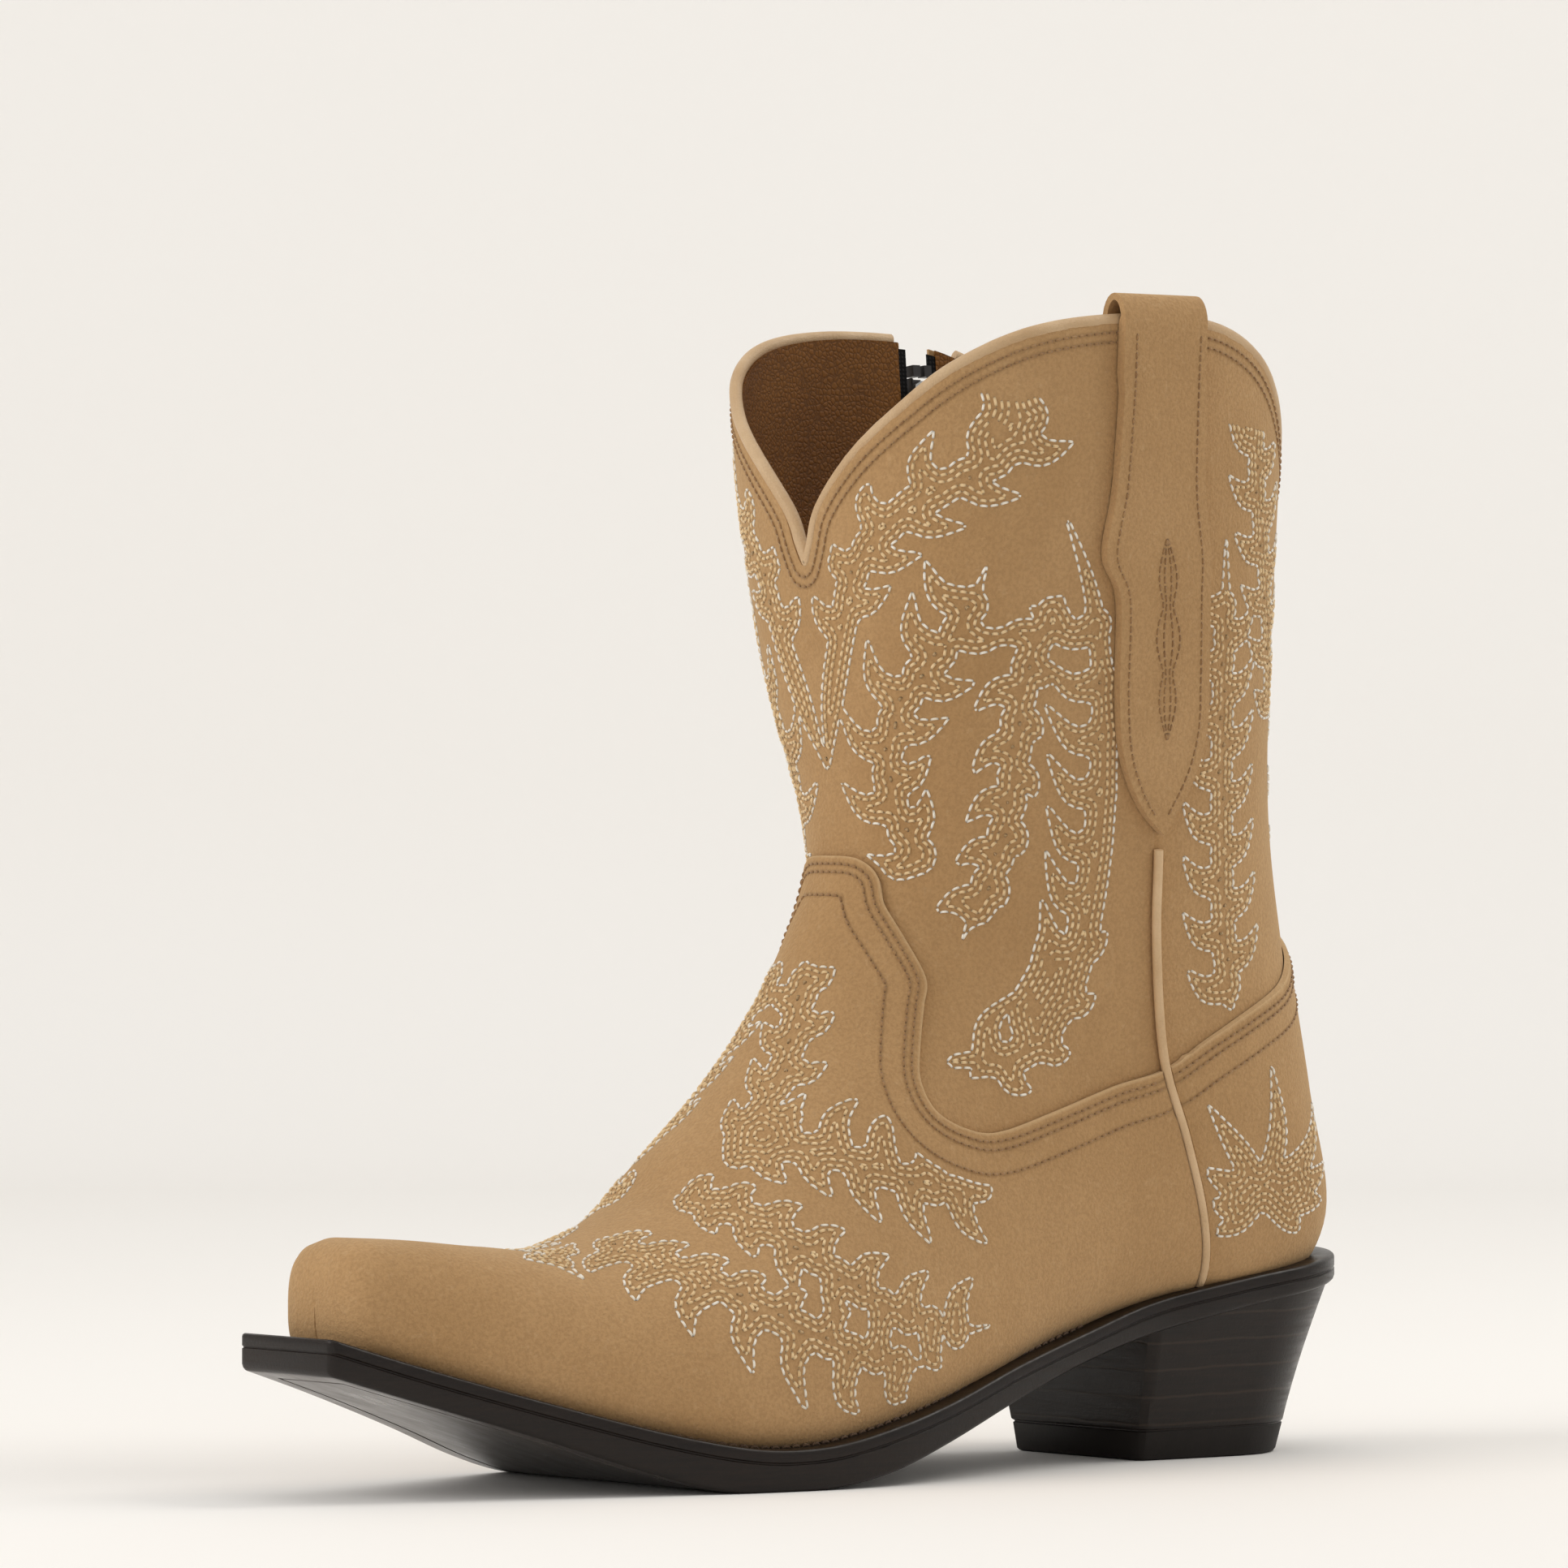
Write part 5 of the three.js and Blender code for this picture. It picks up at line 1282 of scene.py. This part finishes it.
def make_embroidery():
    """Flame stitching: a spread wing on each side of the vamp, plumes up the shaft, a fan on the heel."""
    white, tan = Sewing(), Sewing()
    vamp, front, back, heel = Flames(), Flames(), Flames(), Flames()
    for side in (1, -1):
        def on_vamp(a, b, side=side):
            return form(b / VAMP_STEP, side * a / VAMP_TURN)

        def on_leg(s, z, side=side):
            return on_shaft(side * s, z)

        for flames, place, plumes in ((vamp, on_vamp, VAMP_PLUMES), (front, on_leg, SHAFT_PLUMES),
                                      (back, on_leg, BACK_PLUMES)):
            for plume in plumes:
                flames.plume(place, *plume)
        front.tongue(on_leg, *FRONT_STEM)
        root = np.array(FAN_ROOT)
        for turn in np.linspace(-0.25 * math.pi, 1.25 * math.pi, 9):
            long = FAN_RADII[0] + (FAN_RADII[1] - FAN_RADII[0]) * max(math.sin(turn), 0) ** 2
            tip = root + long * np.array([math.cos(turn), math.sin(turn)])
            heel.tongue(on_leg, [root, (root + tip) / 2 + (1.5, -1.5), tip], [3.2, 3.2, 0.1])

    foot = [lambda p: below_vamp_line(p) - VAMP_ROWS[-1] - 2.5, lambda p: above_sole(p) - 4]
    leg = [lambda p: -below_vamp_line(p) - 2, lambda p: below_collar(p) - COLLAR_ROWS[-1] - 2.5,
           lambda p: beside_zip(p) - 5]
    rear = (1.6, 2 * math.pi - 1.6)
    designs = (  # flames, bounds, ranges of t and angle, inset
        (vamp, foot + [lambda p: before_seams(p) - 3], (1.9, 9.4), (-2.05, 2.05), UPPER_INSET),
        (front, leg, (7.6, 15.4), (-1.8, 1.8), SHAFT_INSET),
        (back, leg, (8.0, 15.4), rear, SHAFT_INSET),
        (heel, foot + [lambda p: behind_seams(p) - 3], (7.4, 12.5), rear, UPPER_INSET),
    )
    for flames, bounds, t_range, angle_range, inset in designs:
        embroider(flames, bounds, t_range, angle_range, inset + THREAD_INSET, white, tan)
    tan.make("flame_filling", 0.36, MATERIALS["tan_thread"], 0.25)
    white.make("flame_outline", 0.3, MATERIALS["white_thread"], 0.3)


def strap_sewing():
    """Rows near the strap's edges and the small stitched motif in its lower half."""
    rows = Sewing()
    front = smooth(STRAP_FRONT_EDGE, 12)
    back = smooth([STRAP_FRONT_EDGE[0]] + STRAP_BACK_EDGE[::-1], 12)

    def sew(outline):
        line = evenly(np.array([on_shaft(s, z) for s, z in outline]), 2.1)
        ups = outward(line)
        rows.row(line - ups * (STRAP_OUTSIDE[0] + THREAD_INSET), ups)

    z = np.linspace(149, 258, 110)
    for edge, margin in ((front, 2.6), (back, -2.6)):
        sew(np.column_stack([np.interp(z, edge[:, 1], edge[:, 0]) + margin, z]))
    middle, low, high, slant = 83.5, 166, 212, -6
    f = np.linspace(0, 1, 70)
    beads = (0.35 + 0.65 * np.abs(np.sin(3 * math.pi * f))) * np.sin(math.pi * f) ** 0.5
    for wide in (3.4, -3.4, 1.3, -1.3):
        sew(np.column_stack([middle + (f - 0.5) * slant + wide * beads, low + (high - low) * f]))
    rows.make("strap_stitching", 0.28, MATERIALS["seam_thread"], 0.45)


def welt_sewing():
    """Small stitches along the welt, close to the upper."""
    rows = Sewing()
    for side in sole_loop(5.4):
        side = side[side[:, 1] < AXIS_Y]
        line = evenly(np.column_stack([side, line_z(SOLE_TOP, side[:, 1])]), 2.6)
        rows.row(line + (0, 0, 0.05), np.tile([0.0, 0.0, 1.0], (len(line), 1)))
    rows.make("welt_stitching", 0.36, MATERIALS["welt_thread"], 0.5)


# ---------------------------------------------------------------- stage, lights and camera

VIEW_AZIMUTH = math.radians(51.43)
TARGET = Vector((0, -111.3, 156.1)) * MM
CAMERA_DISTANCE, LENS = 2.088, 211.6
CAMERA_HEIGHT = -0.002
AWAY = Vector((-math.sin(VIEW_AZIMUTH), math.cos(VIEW_AZIMUTH), 0))  # from the camera to the boot
ASIDE = Vector((math.cos(VIEW_AZIMUTH), math.sin(VIEW_AZIMUTH), 0))


def make_stage():
    """A pale floor that turns up softly into a wall behind the boot."""
    wall, bend = 1.62, 0.16
    turn = np.linspace(0, math.pi / 2, 16)
    profile = [(-6.0, 0.0), (0.0, 0.0)]
    profile += [(wall - bend + bend * math.sin(a), bend * (1 - math.cos(a))) for a in turn]
    profile.append((wall, 5.0))
    vertices = [AWAY * far + ASIDE * aside + Vector((0, 0, z)) for aside in (-7, 7) for far, z in profile]
    rows = len(profile)
    faces = [(rows + k, rows + k + 1, k + 1, k) for k in range(rows - 1)]
    n = Nodes("stage", roughness=0.9, Specular_IOR_Level=0.1)
    n.set("Base Color", n.mix(n.noise(400, 2.0), srgb(247, 246, 244), srgb(245, 243, 240)))
    clear = n.add("ShaderNodeBsdfTransparent").outputs[0]
    behind_it = n.add("ShaderNodeNewGeometry").outputs["Backfacing"]
    seen = n.add("ShaderNodeMixShader", {0: behind_it, 1: n.shader.outputs[0], 2: clear}).outputs[0]
    n.tree.links.new(seen, n.tree.nodes["Material Output"].inputs["Surface"])
    stage = new_object("stage", np.array(vertices) / MM, faces, n.material)


LIGHTS = (  # name, place from the boot (away from the camera, to its right, up), size, watts, colour
    ("key", (0.3, 1.3, 1.4), 1.0, 10.5, (1.0, 0.96, 0.9)),
    ("fill", (-0.8, -1.7, 1.1), 1.6, 18.5, (1.0, 0.97, 0.94)),
    ("top", (-0.2, 0.0, 1.9), 1.6, 4.0, (1.0, 0.98, 0.95)),
)


def make_lights():
    world = bpy.data.worlds.new("studio")
    world.use_nodes = True
    background = world.node_tree.nodes["Background"]
    background.inputs["Color"].default_value = (1.0, 0.985, 0.965, 1)
    background.inputs["Strength"].default_value = 0.6
    bpy.context.scene.world = world
    for name, (away, aside, up), size, watts, colour in LIGHTS:
        light = bpy.data.lights.new(name, "AREA")
        light.shape = "DISK"
        light.size = size
        light.energy = watts
        light.color = colour
        lamp = bpy.data.objects.new(name, light)
        lamp.location = TARGET + AWAY * away + ASIDE * aside + Vector((0, 0, up))
        lamp.rotation_euler = (TARGET - lamp.location).to_track_quat("-Z", "Y").to_euler()
        bpy.context.scene.collection.objects.link(lamp)


def make_camera():
    camera = bpy.data.cameras.new("camera")
    camera.lens = LENS
    camera.sensor_width = 36
    eye = bpy.data.objects.new("camera", camera)
    eye.location = TARGET - AWAY * CAMERA_DISTANCE + Vector((0, 0, CAMERA_HEIGHT))
    eye.rotation_euler = (TARGET - eye.location).to_track_quat("-Z", "Y").to_euler()
    bpy.context.scene.collection.objects.link(eye)
    bpy.context.scene.camera = eye
    bpy.context.scene.view_settings.view_transform = "Standard"


make_upper()
make_tapes()
make_piping()
make_beads()
make_strap()
make_sole()
make_heel()
make_footbed()
edge_rows()
strap_sewing()
welt_sewing()
make_embroidery()
make_stage()
make_lights()
make_camera()
